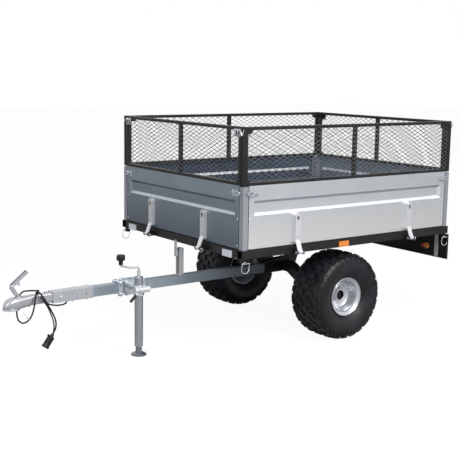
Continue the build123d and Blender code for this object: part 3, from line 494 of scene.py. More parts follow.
# The nodes whose finish is not their slot's
own_finish = {
    "front_panel": galvanised_end_shaded, "tailgate_panel": galvanised_end_shaded, "left_panel": galvanised_side_painted_light,
    "right_panel": galvanised_side_painted_light, "bed_floor": galvanised_shaded, "corner_posts": galvanised_post,
    "post_stakes": powder, "drawbar_tube": drawbar_zinc, "coupling_sleeve": sleeve_zinc,
    "coupling_lever": cast_zinc, "jack_clamp": strap_zinc, "jack_crank": wire_steel,
    "jack_tube": tube_steel, "jack_leg": leg_steel, **{f"{name}_straps": strap_zinc for name, *_ in sides},
}
plain_edges = ("mesh", "tyre", "cord", "hub", "rim")
edge_width = 0.0009


def finish_cad_nodes():
    """Gives each CAD node the finish of its slot in the record, or its own, with smooth faces and soft
    edges."""
    for row in frame["record"]["subparts"]:
        name = row["node"]
        cad = frame["nodes"][name]
        cad.data.materials.clear()
        cad.data.materials.append(own_finish.get(name, slots[row["material_slot"]]))
        cad.data.polygons.foreach_set("use_smooth", np.full(len(cad.data.polygons), True))
        cad.data.set_sharp_from_angle(angle=math.radians(28))
        if not name.endswith(plain_edges):
            edge = cad.modifiers.new("edge", "BEVEL")
            edge.width = edge_width
            edge.segments = 2
            edge.limit_method = "ANGLE"
            edge.angle_limit = math.radians(50)


finish_cad_nodes()


# Mesh panels: the diamonds' pitch each way, the strands' section and tilt, and the gussets in the corners
mesh_long = 0.051
mesh_short = 0.025
strand_wide = 0.0026
strand_thick = 0.0014
mesh_overlap = 0.004
mesh_out = -0.0035
gusset_thick = 0.003
gusset_nose = 0.008
strand_tilt = math.radians(38)


def strands(half, low, high, out):
    """Expanded metal as short bars between staggered knots. Knots lie at (i L / 2, j S / 2) with i + j even,
    and a bar runs from each to the next column's knot above or below it, where both lie inside the frame.
    Each bar's section is a tilted oblong, so that it catches the light as a cut and stretched strand does."""
    columns = int(round(2 * half / (mesh_long / 2)))
    rows = int(round((high - low) / (mesh_short / 2)))
    pitch_x, pitch_z = 2 * half / columns, (high - low) / rows
    i, j = np.meshgrid(np.arange(columns), np.arange(rows + 1), indexing="ij")
    keep = (i + j) % 2 == 0
    i, j = i[keep], j[keep]
    shapes = []
    for way in (1, -1):
        inside = (j + way >= 0) & (j + way <= rows)
        shapes.append(np.stack([i[inside], j[inside], np.full(inside.sum(), way)]))
    start_i, start_j, step_j = np.hstack(shapes)
    start = np.stack([-half + start_i * pitch_x, np.full(len(start_i), out), low + start_j * pitch_z], -1)
    end = start + np.stack([np.full(len(start_i), pitch_x), np.zeros(len(start_i)), step_j * pitch_z], -1)
    along = unit(end - start)
    across = np.stack([-along[:, 2], np.zeros(len(along)), along[:, 0]], -1)
    deep = np.array([0.0, 1.0, 0.0])
    wide = math.cos(strand_tilt) * across + math.sin(strand_tilt) * deep
    thin = -math.sin(strand_tilt) * across + math.cos(strand_tilt) * deep
    over = strand_wide * 0.2
    start, end = start - along * over, end + along * over
    corner = np.array([[-1, -1], [1, -1], [1, 1], [-1, 1]]) * 0.5
    offset = corner[None, :, :1] * strand_wide * wide[:, None]
    offset = offset + corner[None, :, 1:] * strand_thick * thin[:, None]
    points = np.stack([start[:, None] + offset, end[:, None] + offset], 1).reshape(-1, 3)
    base = np.arange(len(start))[:, None, None] * 8
    cell = np.array([[0, 1, 2, 3], [7, 6, 5, 4], [0, 4, 5, 1], [1, 5, 6, 2], [2, 6, 7, 3], [3, 7, 4, 0]])
    return points, (base + cell).reshape(-1, 4).tolist()


def bar(start, end, wide, tall, radius=0.002, up=(0.0, 0.0, 1.0)):
    """A straight bar with a round-cornered section, wide across up x its way and tall along up."""
    return carry([start, end], rounded_oblong(wide, tall, radius), up)


def mesh_frame(half, low, high, depth):
    """The mesh panel's own frame: two rails, a post at each end and one in the middle that is set in a
    little, as round-cornered bars."""
    mid, set_in = -depth / 2, 0.003
    reach = half - mesh_post
    posts = [(way * (half - mesh_post / 2), mid, low, high, depth) for way in (-1, 1)]
    posts.append((0, mid - set_in, low + mesh_rail, high - mesh_rail, depth - 2 * set_in))
    parts = [
        bar((-reach, mid, z), (reach, mid, z), depth, mesh_rail)
        for z in (high - mesh_rail / 2, low + mesh_rail / 2)
    ]
    for x, y, foot, head, deep in posts:
        parts.append(bar((x, y, foot), (x, y, head), mesh_post, deep, up=(0, 1, 0)))
    return parts


def gusset(at_x, at_z, way_x, way_z, size, out):
    """A flat triangular plate in a frame's corner, with its right angle at the corner."""
    nose_x = at_x + way_x * gusset_nose
    outline = [(at_x, at_z), (at_x + way_x * size, at_z), (nose_x, at_z + way_z * size)]
    return slab(outline, -gusset_thick, (0, out, 0))


def build_mesh_panels():
    """The expanded mesh and its frame on each side, in place of the plain CAD mesh."""
    out = -0.001
    for name, body, place, length, _ in sides:
        end_gap = 0.0 if name in ("left", "right") else mesh_depth + panel_gap
        half = length / 2 - end_gap
        reach = half - mesh_post
        low, high = panel_top + mesh_rail, mesh_top - mesh_rail
        sheet = strands(reach + mesh_overlap, low - mesh_overlap, high + mesh_overlap, mesh_out)
        piece(f"{name}_mesh_strands", [sheet], body, mesh_steel, place, smooth=False)
        parts = mesh_frame(half, panel_top, mesh_top, mesh_depth)
        for way in (-1, 1):
            parts.append(gusset(way * reach, high, -way, -1, 0.03, out))
            parts.append(gusset(way * reach, low, -way, 1, 0.014, out))
        piece(
            f"{name}_mesh_frame", parts, body, powder, place, replaces=(f"{name}_mesh",),
        )


build_mesh_panels()

# Places and sizes on the drawbar and its head
ball_x = front + 1.06
nose_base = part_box("coupling_head")[0].z
neck_low_z, neck_high_z = 0.33, 0.384
sleeve_low, sleeve_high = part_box("coupling_sleeve")
sleeve_side = sleeve_high.y
ear_x, ear_z = ball_x - 0.04, 0.378
knee_x, knee_z = ear_x + 0.033, ear_z + 0.0643
socket_radius, neck_bolt_x, catch_bolt_x = 0.0255, front + 0.857, front + 0.955
catch_pin_x, catch_pin_z, catch_pin_half = front + 1.0205, 0.393, 0.0125
head_rivet_x, head_rivet_y, head_rivet_z = front + 1.037, 0.0374, 0.35
sleeve_bolts_x, sleeve_side_bolt_x = (front + 0.691, front + 0.601), front + 0.776
sleeve_hole_x, bolt_middle_y = front + 0.6236, -0.006
bracket_bolts_x = (front + 0.259, front + 0.365, front + 0.405)
bracket_y, drawbar_z, bracket_bolt_rise = 0.0355, 0.357, 0.0328
# Bolts: width across the flats, height of the head, and length of the end beyond it
m6_nut = (0.01, 0.005, 0.003)
m8_head, m8_low_head = (0.013, 0.007), (0.013, 0.006)
m8_nut, m8_high_nut = (0.013, 0.007, 0.005), (0.013, 0.008, 0.005)
m10_head, m10_low_nut, m10_nut = (0.015, 0.007), (0.016, 0.007, 0.004), (0.0165, 0.008, 0.006)


def flat_cap(radius, tall, edge):
    """The profile of a low turned cap: out along its foot, up its side, over a round edge and in to its
    middle."""
    rim = arc(edge, edge, 0, np.pi / 2, 4) + [radius - edge, tall - edge]
    return np.vstack([[0.0, 0.0], [radius, 0.0], rim, [0.0, tall]])


def bolt(at, axis, across=0.013, tall=0.006, shank=0.0):
    """A hexagon head on a washer, and a threaded end beyond it where shank is more than nothing. Each is a
    profile turned about the bolt's axis, the head with six sides."""
    at, axis = np.asarray(at, float), unit(np.asarray(axis, float))
    radius = across / math.sqrt(3)
    head = [(0.0, 0.0), (radius, 0.0), (radius, tall * 0.85), (radius * 0.86, tall), (0.0, tall)]
    parts = [
        turned(flat_cap(across * 0.78, 0.0014, 0.0004), at, axis, 20),
        turned(head, at + axis * 0.0014, axis, 6),
    ]
    if shank:
        parts.append(turned(flat_cap(across * 0.3, shank, 0.0008), at + axis * (tall + 0.001), axis, 12))
    return joined(*parts)


def dome(at, axis, radius, tall):
    """A rivet's head: the profile (R cos t, h sin t) turned about its axis."""
    return turned(np.vstack([[0.0, 0.0], arc(radius, tall, 0, np.pi / 2, 5)]), at, axis, 14)


def ring_wire(path, radius, closed=False, up=(0.0, 0.0, 1.0), sides=8):
    """A round wire carried along a path."""
    return carry(path, circle(radius, sides), up, closed)


def ring_around(at, way, radius, thick, count=16, sides=8):
    """A closed ring of round wire about a point, in the plane across the given way: at angle t it goes
    through P + r (cos t e1 + sin t e2)."""
    one = unit(np.cross(way, [0, 0, 1]))
    spread = circle(radius, count)
    return ring_wire(at + spread[:, :1] * one + spread[:, 1:] * np.cross(way, one), thick, True, way, sides)


def bored(made, shape):
    """Cuts one closed shape out of a piece, and keeps the result as the piece's own mesh."""
    mesh = closed_mesh("cutter", shape)
    cutter = stand("cutter", mesh)
    cut = made.modifiers.new("cut", "BOOLEAN")
    cut.operation = "DIFFERENCE"
    cut.object = cutter
    cut.solver = "EXACT"
    bpy.context.view_layer.update()
    result = bpy.data.meshes.new_from_object(made.evaluated_get(bpy.context.evaluated_depsgraph_get()))
    made.modifiers.clear()
    made.data = result
    bpy.data.objects.remove(cutter)
    bpy.data.meshes.remove(mesh)
    result.set_sharp_from_angle(angle=math.radians(35))


def build_head():
    """The coupling head: sections across the drawbar, each a superellipse |y/w|^n + |z/h|^n = 1 about its own
    middle, that go from a round-cornered neck to a round nose, over a flared skirt round the socket."""
    # Distance ahead of the bed, lowest z, highest z, half width, exponent
    rows = np.array([
        (0.752, 0.33, 0.384, 0.027, 5.0), (0.88, 0.33, 0.384, 0.027, 5.0),
        (0.935, 0.3298, 0.3838, 0.0272, 4.6), (0.965, 0.3262, 0.3815, 0.0292, 4.2),
        (0.99, 0.3215, 0.381, 0.0322, 3.8), (1.015, 0.318, 0.3815, 0.0352, 3.6),
        (1.035, 0.3165, 0.3815, 0.0375, 3.4), (1.052, 0.316, 0.38, 0.0382, 3.2),
        (1.066, 0.316, 0.3762, 0.0374, 3.0), (1.078, 0.316, 0.37, 0.035, 2.8),
        (1.088, 0.316, 0.361, 0.03, 2.6), (1.095, 0.316, 0.35, 0.0235, 2.5),
        (1.0995, 0.316, 0.339, 0.016, 2.4), (1.1015, 0.316, 0.329, 0.008, 2.3),
    ])
    fine = softened(rows, 1)
    t = np.linspace(0, 2 * np.pi, 48, endpoint=False)
    power = 2 / fine[:, 4:5]
    y = np.sign(np.cos(t)) * np.abs(np.cos(t)) ** power * fine[:, 3:4]
    mid, tall = (fine[:, 1:2] + fine[:, 2:3]) / 2, (fine[:, 2:3] - fine[:, 1:2]) / 2
    z = mid + np.sign(np.sin(t)) * np.abs(np.sin(t)) ** power * tall
    x = np.broadcast_to(front + fine[:, 0:1], y.shape)
    body = piece(
        "coupling_head_shell", [capped(np.stack([x, y, z], -1))], "chassis", cast_zinc,
        replaces=("coupling_head",),
    )
    skirt = [
        (0.012, 0.0), (0.0462, 0.0), (0.0472, 0.0012), (0.0468, 0.0026), (0.044, 0.0044), (0.04, 0.0085),
        (0.012, 0.01),
    ]
    lip = turned(skirt, (ball_x, 0, nose_base), count=64)
    ring = piece("coupling_skirt", [lip], "chassis", cast_zinc)
    socket = [(0, 0), (socket_radius, 0), (socket_radius, 0.042), (0.018, 0.052), (0, 0.052)]
    through = [(0, 0), (socket_radius, 0), (socket_radius, 0.03), (0, 0.03)]
    for made, profile in ((body, socket), (ring, through)):
        bored(made, turned(profile, (ball_x, 0, nose_base - 0.004), count=48))
    ear, ear_half, ear_y = rounded_oblong(0.02, 0.03, 0.006), 0.003, 0.0077
    parts = [slab(ear, 2 * ear_half, (ear_x, way * ear_y - ear_half, ear_z)) for way in (-1, 1)]
    parts += [
        bolt((neck_bolt_x, 0, neck_high_z), (0, 0, 1), *m8_head),
        bolt((neck_bolt_x, 0, neck_low_z), (0, 0, -1), *m8_nut),
        bolt((catch_bolt_x, 0, 0.327), (0, 0, -1), *m6_nut),
    ]
    for way in (-1, 1):
        parts.append(dome((head_rivet_x, way * head_rivet_y, head_rivet_z), (0, way, 0), 0.0045, 0.002))
    ends = [(catch_pin_x, y, catch_pin_z) for y in (-catch_pin_half, catch_pin_half)]
    parts.append(ring_wire(ends, 0.0045))
    piece("coupling_ears", parts, "chassis", cast_zinc)


def build_drawbar_details():
    """Bolts through the sleeve, holes in its sides shown as dark discs of painted shade, and the jack
    bracket's nuts above and below the drawbar."""
    parts = []
    for x in sleeve_bolts_x:
        parts.append(bolt((x, bolt_middle_y, sleeve_high.z), (0, 0, 1), *m8_head))
        parts.append(bolt((x, bolt_middle_y, sleeve_low.z), (0, 0, -1), *m8_high_nut))
    # Dark discs of painted shade where the sleeve's side holes are
    hole, holes = flat_cap(0.0042, 0.0004, 0.0001), []
    for way in (-1, 1):
        parts.append(bolt((sleeve_side_bolt_x, way * sleeve_side, 0.353), (0, way, 0), *m10_head))
        holes.append(turned(hole, (sleeve_hole_x, way * sleeve_side, 0.354), (0, way, 0), 20))
    piece("sleeve_bolts", parts, "chassis", fittings)
    piece("sleeve_hole_shade", holes, "chassis", hole_shade_and_valve_black)
    nuts = [
        bolt((x, way * bracket_y, drawbar_z + rise), (0, way, 0), *m10_nut)
        for x in bracket_bolts_x for rise in (-bracket_bolt_rise, bracket_bolt_rise) for way in (-1, 1)
    ]
    piece("bracket_nuts", nuts, "chassis", fittings)


def build_lever_details():
    """The lever's knee rivet and the small tab on its handle."""
    parts = [dome((knee_x, way * 0.0107, knee_z), (0, way, 0), 0.0075, 0.0025) for way in (-1, 1)]
    parts.append(slab(rounded_oblong(0.016, 0.02, 0.004), 0.003, (knee_x - 0.034, 0.0105, knee_z + 0.014)))
    piece("lever_rivets", parts, "chassis", fittings)


# Points of the cord in metres: distance ahead of the bed, y, z
cord_points = np.array([
    (730, 0, 326.2), (730, 0, 311), (748, -2, 303), (785, -6, 301), (822, -17, 308), (850, -37, 324),
    (868, -46, 352), (882, -43, 385), (895, -24, 399), (909, 2, 400), (923, 27, 397), (934, 41, 374),
    (943, 42, 330), (955, 40, 280), (976, 26, 243), (998, 0, 230), (1010, -27, 246), (1010, -43, 284),
    (1001, -50, 330), (990, -48, 374), (978, -32, 401), (961, -6, 406), (940, 18, 411), (918, 38, 408),
    (899, 50, 382), (873, 51, 336), (846, 47, 290), (822, 45, 243), (817, 45, 208), (824, 45, 179),
    (839, 45, 158),
]) / 1000 + [front, 0, 0]
cord_radius, strand_radius = 0.0045, 0.0038
# The cord's second strand from the knot to the plug, the knot's middle and the way through it
second_strand = np.array([
    (914, 52, 383), (893, 58, 352), (868, 60, 308), (848, 57, 262), (836, 55, 222), (834, 52, 190),
    (838, 48, 162),
]) / 1000 + [front, 0, 0]
knot_at = np.array([front + 0.92, 0.035, 0.404])
knot_way = unit(np.array([-0.022, 0.02, -0.003]))
# The run of the cord that the tie is on, by its first point
tie_run = 13


def down_cord(outline, down, at, **more):
    """A section of the plug carried along the cord's last way, through the given distances past its end."""
    return carry(cord_points[-1] + down * np.array(at)[:, None], outline, (0, 1, 0), **more)


def build_cord():
    """The cord as a clamped curve of order three through the same run of points as the solid, with its second
    strand, a knot and a tie, and its plug: sections carried down the cord's last run, with two latches."""
    data = bpy.data.curves.new("plug_cord_line", "CURVE")
    data.dimensions = "3D"
    spline = data.splines.new("NURBS")
    spline.points.add(len(cord_points) - 1)
    spline.points.foreach_set("co", np.hstack([cord_points, np.ones((len(cord_points), 1))]).ravel())
    spline.order_u = 3
    spline.use_endpoint_u = True
    data.resolution_u = 10
    data.bevel_depth = cord_radius
    data.bevel_resolution = 4
    data.use_fill_caps = True
    cord = stand("plug_cord_line", data)
    data.materials.append(jacket)
    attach(cord, "chassis")
    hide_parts("plug_cord")
    second = ring_wire(softened(second_strand, 2), strand_radius, up=(0, 1, 0))
    strand = piece("plug_cord_strand", [second], "chassis", jacket)
    step = 0.0035 * knot_way
    turns = [ring_around(middle, knot_way, 0.0088, 0.004) for middle in (knot_at - step, knot_at + step)]
    knot = piece("plug_cord_knot", turns, "chassis", jacket)
    before, after = cord_points[tie_run], cord_points[tie_run + 1]
    tie_at = before + (after - before) * 0.6
    ends = [tie_at + [0.003, -0.006, 0.0], tie_at + [0.03, -0.013, 0.036]]
    tail = carry(ends, rounded_oblong(0.0055, 0.0014, 0.0005), (0, 1, 0))
    loop = ring_around(tie_at, unit(after - before), 0.0058, 0.0018)
    tie = piece("cord_tie", [loop, tail], "chassis", tie_plastic)
    down = unit(cord_points[-1] - cord_points[-2])
    # Rows of the plug: distance past the cord's end, half width
    rows = np.array([
        (-0.004, 0.006), (0.004, 0.0085), (0.012, 0.0105), (0.013, 0.015), (0.022, 0.0155), (0.024, 0.0175),
        (0.07, 0.0185), (0.072, 0.02), (0.084, 0.02), (0.0845, 0.019),
    ])
    section = rounded_oblong(2.0, 1.8, 0.7, 5)
    parts = [down_cord(section, down, rows[:, 0], scale=rows[:, 1])]
    ribs_at, rib_tall, rib_half = (0.03, 0.038, 0.046, 0.054), 0.0035, 0.0192
    for at in ribs_at:
        parts.append(down_cord(section, down, [at, at + rib_tall], scale=[rib_half, rib_half]))
    side = unit(np.cross(down, [0, 1, 0]))
    for way, at, long in ((1, 0.02, 0.009), (-1, 0.026, 0.007)):
        root = cord_points[-1] + down * at + side * way * 0.015
        run = [root, root + side * way * long - down * 0.005]
        parts.append(carry(run, rounded_oblong(0.012, 0.005, 0.0015), (0, 1, 0)))
    plug = piece("plug_body", parts, "chassis", plastic, replaces=("plug",), angle=40)


# Wheels

# Half of the tyre's section as (radius, distance from the middle), from the crown out to the bead
tyre_section = softened(np.array([
    (0.2575, 0.0), (0.2575, 0.045), (0.2555, 0.078), (0.25, 0.1), (0.24, 0.117), (0.225, 0.128),
    (0.206, 0.1325), (0.188, 0.1315), (0.168, 0.126), (0.148, 0.115), (0.131, 0.102),
    (0.1215, 0.0935), (0.118, 0.088), (0.1016, 0.0868),
]), 2)
section_run = np.concatenate([[0], np.cumsum(np.linalg.norm(np.diff(tyre_section, axis=0), axis=1))])
# Rows of blocks on each half: run out from the crown's middle, its end, width round the tyre, lean, height,
# blocks in a turn, share of a pitch by which the row is turned
tread_rows = (
    (0.003, 0.04, 0.033, 0.01, 0.0095, 24, 0.1), (0.046, 0.08, 0.03, -0.012, 0.0093, 24, 0.6),
    (0.085, 0.112, 0.04, 0.006, 0.0085, 24, 0.12), (0.116, 0.133, 0.028, 0.000, 0.006, 36, 0.3),
    (0.137, 0.1475, 0.017, 0.002, 0.0048, 48, 0.00),
)


def tread(row, way):
    """A ring of blocks over the tyre's section. Along a block the run u goes from its start to its end, and
    at each u four points stand at the base and the top of both its flanks, out along the section's normal.
    The block leans round the tyre in proportion to u, and bows as sin(pi u) does."""
    start, end, wide, lean, tall, count, phase = row
    share = np.array([0.0, 0.06, 0.35, 0.65, 0.94, 1.0])
    rise = np.array([0.1, 1.0, 1.0, 1.0, 1.0, 0.1]) * tall
    run = start + (end - start) * share
    radius = np.interp(run, section_run, tyre_section[:, 0])
    out = np.interp(run, section_run, tyre_section[:, 1])
    ahead = np.stack([np.gradient(radius), np.gradient(out)], -1)
    normal = unit(np.stack([ahead[:, 1], -ahead[:, 0]], -1))
    sink, bowed, crown_radius = 0.002, 0.004, 0.26
    heights = np.stack([np.full(len(run), -sink), rise, rise, np.full(len(run), -sink)], -1)
    flank = np.array([-0.5, -0.43, 0.43, 0.5]) * wide
    bow = lean * (share - 0.5) + bowed * np.sin(np.pi * share)
    r = radius[:, None] + normal[:, :1] * heights
    y = out[:, None] + normal[:, 1:] * heights
    angle = (flank[None] + bow[:, None]) / crown_radius
    turn = (np.arange(count) + phase + (0.5 if way < 0 else 0.0)) * 2 * np.pi / count
    full = turn[:, None, None] + angle[None]
    points = np.stack([r * np.cos(full), np.broadcast_to(y * way, full.shape), r * np.sin(full)], -1)
    steps = len(run)
    cell = np.array([
        [4 * k + a, 4 * k + b, 4 * (k + 1) + b, 4 * (k + 1) + a]
        for k in range(steps - 1) for a, b in ((0, 1), (1, 2), (2, 3), (3, 0))
    ] + [[0, 1, 2, 3], [4 * steps - 4, 4 * steps - 3, 4 * steps - 2, 4 * steps - 1]])
    faces = np.arange(count)[:, None, None] * 4 * steps + cell
    return points.reshape(-1, 3), faces.reshape(-1, 4).tolist()


# The rim's section as (radius, distance from the middle): outer lip, dish, hub face and inner lip
rim_profile = softened(np.array([
    (0.1013, 0.087), (0.115, 0.0895), (0.1178, 0.093), (0.118, 0.099), (0.1168, 0.1012),
    (0.1145, 0.1012), (0.1128, 0.0985), (0.111, 0.0945), (0.0995, 0.089), (0.0975, 0.086),
    (0.097, 0.079), (0.094, 0.0785), (0.0915, 0.083), (0.0898, 0.082), (0.0868, 0.054),
    (0.0825, 0.038), (0.079, 0.031), (0.074, 0.028), (0.06, 0.022), (0.044, 0.0165),
    (0.0384, 0.016), (0.0384, 0.01), (0.06, 0.016), (0.079, 0.022), (0.084, 0.026),
    (0.0855, -0.05), (0.089, -0.058), (0.0955, -0.087), (0.1128, -0.0965), (0.1145, -0.1012),
    (0.1168, -0.1012), (0.118, -0.099), (0.1178, -0.093), (0.115, -0.0895), (0.1013, -0.087),
    (0.0925, -0.057), (0.0925, 0.057),
]), 1, closed=True)
collar_profile = (
    (0.027, 0.006), (0.0382, 0.006), (0.0388, 0.044), (0.0378, 0.0466), (0.03, 0.0468),
    (0.0272, 0.0448),
)


def build_wheels():
    """Each wheel: the tyre's section turned about the axle with its rows of blocks, a stepped rim, a bright
    collar round the hub, a black disc deep in the collar as painted shade for the hub's bore, and the valve."""
    profile = np.vstack([tyre_section[::-1] * [1, -1], tyre_section[1:]])
    blocks = [tread(row, way) for row in tread_rows for way in (-1, 1)]
    bore_shade_profile, stem_profile = flat_cap(0.0268, 0.0012, 0.0004), flat_cap(0.0045, 0.03, 0.001)
    for side, way in (("left", 1), ("right", -1)):
        centre, axis = np.array([axle_x, way * wheel_y, axle_z]), (0, way, 0)
        carcass = turned(profile, centre, (0, 1, 0), 120, loop=True)
        rings = [(points * [1, way, 1] + centre, faces) for points, faces in blocks]
        body = f"{side}_wheel"
        tyre, rim = (f"{side}_tyre",), (f"{side}_rim",)
        piece(f"{side}_tyre_carcass", [carcass], body, rubber, replaces=tyre, angle=60)
        piece(f"{side}_tyre_tread", rings, body, rubber, angle=25)
        face = turned(rim_profile, centre, axis, 96, loop=True)
        piece(f"{side}_rim_face", [face], body, rim_paint, replaces=rim, angle=50)
        collar = turned(collar_profile, centre, axis, 48, loop=True)
        piece(f"{side}_hub_collar", [collar], body, rim_paint)
        # A black disc deep in the collar: painted shade for the hub's bore.
        cap = turned(bore_shade_profile, centre + [0, way * 0.03, 0], axis, 32)
        stem = turned(stem_profile, centre + [0.05, way * 0.02, 0.044], axis, 14)
        piece(f"{side}_wheel_bore", [cap, stem], body, hole_shade_and_valve_black)


# Panels' small parts: heights, distances in from a panel's end, and how far they stand out
latch_z, slot_z, slot_out = frame_top + 0.312, frame_top + 0.155, 0.0238
clip_radius, clip_back, clip_z, clip_out = 0.011, 0.029, hinge_z - 0.008, hinge_out + panel_inset
end_rivet_back, end_rivets_z = 0.012, (panel_top - 0.182, panel_top - 0.332)
latch_rivets_back, latch_rivet_rise = (0.014, 0.054), 0.011
bail_back, bail_past = 0.03, 0.016
catch_z, catch_out, catch_slot_out = mesh_top - 0.033, 0.0012, 0.0025
inner_plate_z, inner_plate_y = mesh_top - 0.024, -mesh_depth - 0.0015


def build_panel_details():
    """On each panel: plugs in the straps' slots, wire clips on the hinge pins' tails, rivets at the ends, and
    wire bails on the latches, each a closed round wire through the corners of an oblong."""
    for name, body, place, length, spread in sides:
        half = length / 2 - post_size - panel_gap
        plugs, clips, rivets, bails = [], [], [], []
        for at in (-spread, spread):
            plugs.append(slab(rounded_oblong(0.0135, 0.024, 0.0067), 0.0008, (at, slot_out, slot_z)))
            rivets.append(dome((at - 0.002, slot_out + 0.0006, slot_z - 0.006), (0, 1, 0), 0.0032, 0.0016))
            clip_at = np.array([at - clip_back, clip_out, clip_z])
            clips.append(ring_around(clip_at, (1, 0, 0), clip_radius, 0.0012, 14, 6))
        for way in (-1, 1):
            for z in end_rivets_z:
                rivets.append(dome((way * (half - end_rivet_back), 0.0, z), (0, 1, 0), 0.0045, 0.0022))
            x0, x1 = way * (half - bail_back), way * (half + bail_past)
            corners = [
                (x0, 0.012, latch_z - 0.013), (x0, 0.012, latch_z + 0.013),
                (x1, 0.014, latch_z + 0.009), (x1, 0.014, latch_z - 0.009),
            ]
            bails.append(ring_wire(softened(corners, 2, closed=True), 0.0016, True, up=(0, 1, 0)))
            rivets += [
                dome((way * (half - back), 0.004, latch_z + rise), (0, 1, 0), 0.003, 0.0015)
                for back in latch_rivets_back for rise in (-latch_rivet_rise, latch_rivet_rise)
            ]
        piece(f"{name}_strap_plugs", plugs, body, plastic, place)
        piece(f"{name}_latch_bails", bails, body, wire_steel, place)
        piece(f"{name}_rivets", rivets, body, wire_steel, place)
        piece(f"{name}_pin_clips", clips, "bed", wire_steel, place)


def build_mesh_catches():
    """At each top corner of the mesh: a zinc plate with two slots on the end panel's frame, a wire bent as a
    V over the corner, and a black plate inside the side panel's mesh."""
    for name, body, place, length, _ in sides:
        if name in ("left", "right"):
            outer, inner = length / 2 - mesh_post - 0.001, length / 2 - mesh_post - 0.046
            plates = [
                bar(*[(way * x, inner_plate_y, inner_plate_z) for x in (outer, inner)], 0.003, 0.026)
                for way in (-1, 1)
            ]
            piece(f"{name}_mesh_plates", plates, body, powder, place)
            continue
        half = length / 2 - mesh_depth - panel_gap
        plates, wires, holes = [], [], []
        for way in (-1, 1):
            ends = [(way * (half - back), catch_out, catch_z) for back in (0.003, 0.06)]
            plates.append(bar(*ends, 0.0024, 0.042))
            for x in (way * (half - 0.02), way * (half - 0.042)):
                ends = [(x, catch_slot_out, catch_z + rise) for rise in (-0.01, 0.01)]
                holes.append(bar(*ends, 0.009, 0.0008, up=(0, 1, 0)))
            bends = [
                (way * (half + past), out, mesh_top - drop)
                for past, out, drop in (
                    (-0.014, 0.0045, 0.016), (0.004, 0.007, 0.022), (0.019, 0.008, 0.055),
                    (0.03, 0.007, 0.013),
                )
            ]
            wires.append(ring_wire(softened(bends, 1), 0.0022, up=(0, 1, 0)))
        piece(f"{name}_catch_plates", plates, body, cast_zinc, place)
        piece(f"{name}_catch_wires", wires, body, wire_steel, place)
        piece(f"{name}_catch_slots", holes, body, plastic, place)


# Cables under the left rail, as distance ahead of the bed's front and z, and how far out they hang
cable_loop = (
    (-0.285, 0.594), (-0.303, 0.577), (-0.328, 0.559), (-0.354, 0.569), (-0.376, 0.586), (-0.392, 0.596),
)
cable_end = ((-0.398, 0.596), (-0.402, 0.574), (-0.405, 0.548), (-0.402, 0.526))
cable_out, cable_radius = 0.606, 0.0032


def build_frame_cables():
    """Black cable under the left rail: a sagging loop behind the front strap, and an end that hangs down."""
    wires = [
        ring_wire(softened([(front + x, cable_out, z) for x, z in run], 2), cable_radius, up=(0, 1, 0))
        for run in (cable_loop, cable_end)
    ]
    piece("frame_cables", wires, "bed", plastic)


def build_corner_rings():
    """A linch pin's sprung ring under each corner: a wire from one end of the stake's pin, down, round half a
    circle and up to the other end."""
    stake_low, stake_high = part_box("post_stakes")
    ring_radius, ring_z, ring_out, pin_z = 0.026, 0.533, 0.0225, 0.561
    low_arc = arc(ring_radius, ring_radius, 0, -np.pi, 13)
    half_ring = np.stack([low_arc[:, 0], np.zeros(13), low_arc[:, 1]], -1)
    rings = []
    for x in (stake_low.x + 0.012, stake_high.x - 0.012):
        for y in (stake_low.y + 0.024, stake_high.y - 0.024):
            out = y + ring_out * np.sign(y)
            ends = [(x, out, 0.572), (x + 0.02, out, 0.564)], [(x - ring_radius, out, 0.562)]
            path = np.vstack([ends[0], half_ring + [x, out, ring_z], ends[1]])
            rings.append(ring_wire(path, 0.002, up=(0, 1, 0)))
            rings.append(ring_wire([(x - 0.03, out, pin_z), (x + 0.016, out, pin_z)], 0.0026, up=(0, 1, 0)))
    piece("corner_pin_rings", rings, "bed", wire_steel)


def build_rear():
    """What stands on the light board: lamp backs on its front face with their cable, and lens rims behind."""
    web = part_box("light_board")[0].x + 0.0025
    for label, y, radius, finish in (("amber", 0.469, 0.02, amber_lens), ("red", 0.438, 0.013, red_lens)):
        back = flat_cap(radius, 0.012, 0.003)
        shapes = [turned(back, (web, way * y, 0.477), (1, 0, 0), 28) for way in (-1, 1)]
        piece(f"{label}_lamp_backs", shapes, "bed", finish)
    rim_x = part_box("tail_lamps")[0].x - 0.0005
    ring = [(0.0325, 0.0), (0.0368, 0.0), (0.0368, 0.003), (0.0335, 0.0042)]
    rims = [
        turned(ring, (rim_x, way * y, 0.48), (-1, 0, 0), 40, loop=True)
        for way in (-1, 1) for y in (0.56, 0.47)
    ]
    piece("lamp_rims", rims, "bed", plastic)
    run = np.array([
        (0.006, 0.43, 0.478), (0.012, 0.402, 0.486), (0.012, 0.385, 0.53), (0.03, 0.38, 0.572),
        (0.07, 0.38, 0.582),
    ])
    cables = [
        ring_wire(softened(run * [1, way, 1] + [web, 0, 0], 2), 0.003, up=(1, 0, 0)) for way in (-1, 1)
    ]
    piece("lamp_cables", cables, "bed", plastic)


